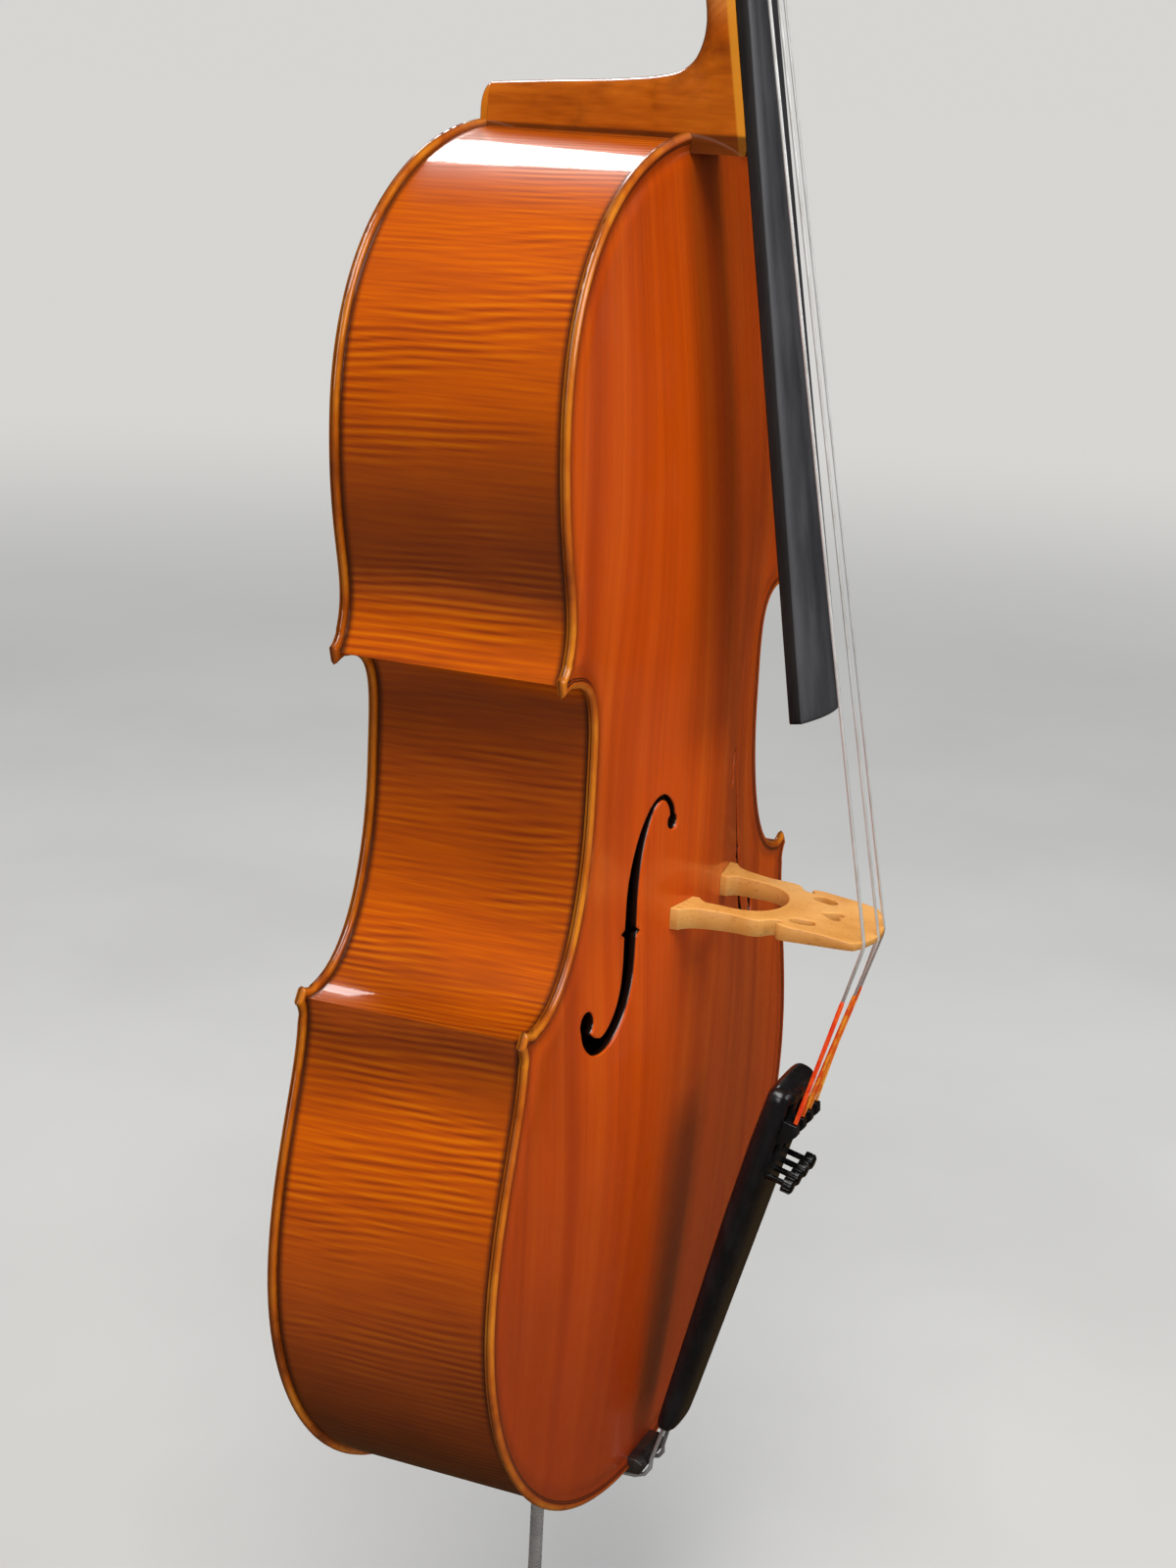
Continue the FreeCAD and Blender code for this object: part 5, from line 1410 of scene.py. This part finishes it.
# ======================= pieces kept from the part, with softened edges =======================
def softened(node, body, material, width, segments=3, angle=32.0):
    """Copy of a part's shape with rounded edges and its own finish."""
    source = frame["nodes"][node].data.copy()
    source.materials.clear()
    work = bmesh.new()
    work.from_mesh(source)
    bmesh.ops.remove_doubles(work, verts=work.verts, dist=2e-6)
    bmesh.ops.dissolve_limit(work, angle_limit=math.radians(1.0), verts=work.verts, edges=work.edges)
    work.to_mesh(source)
    work.free()
    source.materials.append(material)
    for attribute in [a.name for a in source.attributes if a.name in ("custom_normal",)]:
        source.attributes.remove(source.attributes[attribute])
    obj = bpy.data.objects.new(node + "_visual", source)
    bpy.context.scene.collection.objects.link(obj)
    bevel = obj.modifiers.new("bevel", "BEVEL")
    bevel.width = width * 0.001
    bevel.segments = segments
    bevel.limit_method = "ANGLE"
    bevel.angle_limit = math.radians(angle)
    bevel.harden_normals = False
    bpy.context.view_layer.update()
    graph = bpy.context.evaluated_depsgraph_get()
    mesh = bpy.data.meshes.new_from_object(obj.evaluated_get(graph))
    obj.modifiers.clear()
    obj.data = mesh
    mesh.shade_smooth()
    mark_sharp(mesh, 35)
    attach(obj, body)
    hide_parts(node)
    return obj


# ======================= studio =======================
BACKDROP = shade(214, 213, 210)


def studio():
    """Pale floor that melts into the background far out and reads darker in the varnish."""
    paint = Paint("studio floor")
    here = paint.place()
    tone = paint.noise(here, 1.6, 4, 0.5)
    colour = paint.mix(paint.bands(tone, 0.3, 0.8), shade(206, 204, 200), shade(196, 194, 190))
    path = paint.node("ShaderNodeLightPath")
    colour = paint.mix(path.outputs["Is Glossy Ray"], colour, shade(66, 50, 27))
    away = paint.node("ShaderNodeVectorMath", {0: here}, operation="LENGTH").outputs["Value"]
    fade = paint.sum("MULTIPLY", paint.bands(away, 1.2, 6.0), path.outputs["Is Camera Ray"])
    colour = paint.mix(fade, colour, shade(0, 0, 0))
    fine = paint.noise(here, 120.0, 2, 0.5)
    ground = paint.finish(Base_Color=colour, Roughness=0.8, Normal=paint.bump(fine, 0.05, 0.0005),
                          Specular_IOR_Level=0.1, Emission_Color=BACKDROP, Emission_Strength=fade)
    mesh = bpy.data.meshes.new("floor")
    reach = 60.0
    mesh.from_pydata([(-reach, -reach, -0.0005), (reach, -reach, -0.0005), (reach, reach, -0.0005),
                      (-reach, reach, -0.0005)], [], [(0, 1, 2, 3)])
    mesh.materials.append(ground)
    obj = bpy.data.objects.new("floor", mesh)
    bpy.context.scene.collection.objects.link(obj)


def lamp(name, place, aim, size, power, colour=(1, 1, 1)):
    data = bpy.data.lights.new(name, "AREA")
    data.shape = "RECTANGLE"
    data.size, data.size_y = size
    data.energy = power
    data.color = colour
    obj = bpy.data.objects.new(name, data)
    obj.location = place
    obj.rotation_euler = (Vector(aim) - Vector(place)).to_track_quat("-Z", "Y").to_euler()
    bpy.context.scene.collection.objects.link(obj)
    return obj


def camera():
    data = bpy.data.cameras.new("view")
    data.sensor_width = 36.0
    data.lens = 2590.0 / 1600.0 * 36.0
    data.clip_end = 50
    obj = bpy.data.objects.new("view", data)
    right = Vector((0.3938, -0.918, 0.047))
    down = Vector((-0.2386, -0.1515, -0.9592))
    ahead = Vector((0.8877, 0.3665, -0.2787))
    obj.matrix_world = Matrix((
        (right.x, -down.x, -ahead.x, -1.2397),
        (right.y, -down.y, -ahead.y, -0.5217),
        (right.z, -down.z, -ahead.z, 0.7926 + LIFT * 0.001),
        (0, 0, 0, 1),
    ))
    bpy.context.scene.collection.objects.link(obj)
    bpy.context.scene.camera = obj


def world():
    """Pale surroundings for the camera, a soft bright sky and dim sides for the light."""
    made = bpy.data.worlds.new("studio air")
    paint = Paint("air", made)
    path = paint.node("ShaderNodeLightPath")
    up = paint.split(paint.node("ShaderNodeTexCoord").outputs["Generated"])[2]
    sky = paint.mix(paint.bands(up, -0.2, 0.9), shade(70, 66, 60), shade(150, 156, 164))
    colour = paint.mix(path.outputs["Is Camera Ray"], sky, BACKDROP)
    colour = paint.mix(path.outputs["Is Glossy Ray"], colour, shade(48, 39, 22))
    back = paint.node("ShaderNodeBackground", {"Color": colour, "Strength": 1.0})
    paint.node("ShaderNodeOutputWorld", {"Surface": back.outputs[0]})
    bpy.context.scene.world = made
    bpy.context.scene.view_settings.view_transform = "Standard"


# ======================= assembly =======================
ribs_wood = rib_maple()
back_wood = back_maple()
top_wood = spruce()
neck_wood = neck_maple()
board_wood = board_ebony()
black_wood = ebony("polished ebony", (16, 14, 14), (40, 34, 32), 0.22, 0.36, 0.3)
moulded = composite()
dark_metal = black_metal()
bright = steel("endpin steel", (196, 196, 198), (160, 160, 162), 0.2, 0.34)
cable = steel("tail cable", (176, 176, 178), (120, 120, 122), 0.3, 0.45)
inner = inner_wood()
brass = steel("brass tips", (214, 170, 90), (170, 126, 56), 0.25, 0.4)

plate("top_plate_visual", True, top_wood, ["top_plate", "top_purfling"])
plate("back_plate_visual", False, back_wood, ["back_plate", "back_purfling"])
back_button(back_wood)
ribs(ribs_wood)
neck_v, neck_f, neck_w = join(neck_and_heel(neck_wood), pegbox_shell(), scroll())
piece("neck_and_scroll_visual", neck_v, neck_f, neck_wood, replaces=["neck_and_scroll"],
      sharp=42, flow=neck_w)
fingerboard(board_wood)
bridge(bare_maple())
strings(string_wire())
for key in PEGS:
    peg(key, black_wood)
for node in ("linings_top", "linings_back", "top_block", "bottom_block", "corner_blocks", "bass_bar", "sound_post"):
    frame["nodes"][node].data.materials.clear()
    frame["nodes"][node].data.materials.append(inner)
softened("nut", BODY, black_wood, 0.5)
softened("saddle", BODY, black_wood, 0.8)
tailpiece(moulded)
softened("tail_wire", BODY, cable, 0.1, 1, 60)
softened("tuner_pins", BODY, bright, 0.1, 1)
softened("endpin_socket", BODY, black_wood, 0.9, 4)
softened("endpin_ferrule", BODY, dark_metal, 0.6)
softened("endpin_rod", "endpin_rod_body", bright, 0.2, 2)
softened("clamp_pad", "clamp_pad_body", brass, 0.15, 1)
softened("clamp_screw", "clamp_screw_body", dark_metal, 0.6)
for key in STRINGS:
    softened("tuner_lever_" + key, "tuner_lever_" + key + "_body", moulded, 1.3, 4)
    softened("tuner_tip_" + key, "tuner_tip_" + key + "_body", brass, 0.15, 1)
    softened("tuner_screw_" + key, "tuner_screw_" + key + "_body", dark_metal, 0.3)

studio()
world()
camera()
lamp("overhead soft box", (-1.4, -0.6, 3.6), (0, 0, 0.8), (1.4, 2.2), 95, (1.0, 0.99, 0.97))
lamp("left soft box", (-3.2, -0.6, 1.8), (0, 0, 0.8), (1.2, 1.8), 34, (1.0, 0.97, 0.93))
lamp("front soft box", (0.4, -3.4, 2.2), (0, 0, 0.8), (1.6, 1.6), 52, (0.96, 0.98, 1.0))
lamp("window", (2.1, 1.26, 2.75), (0, 0, 1.0), (1.1, 0.8), 36)
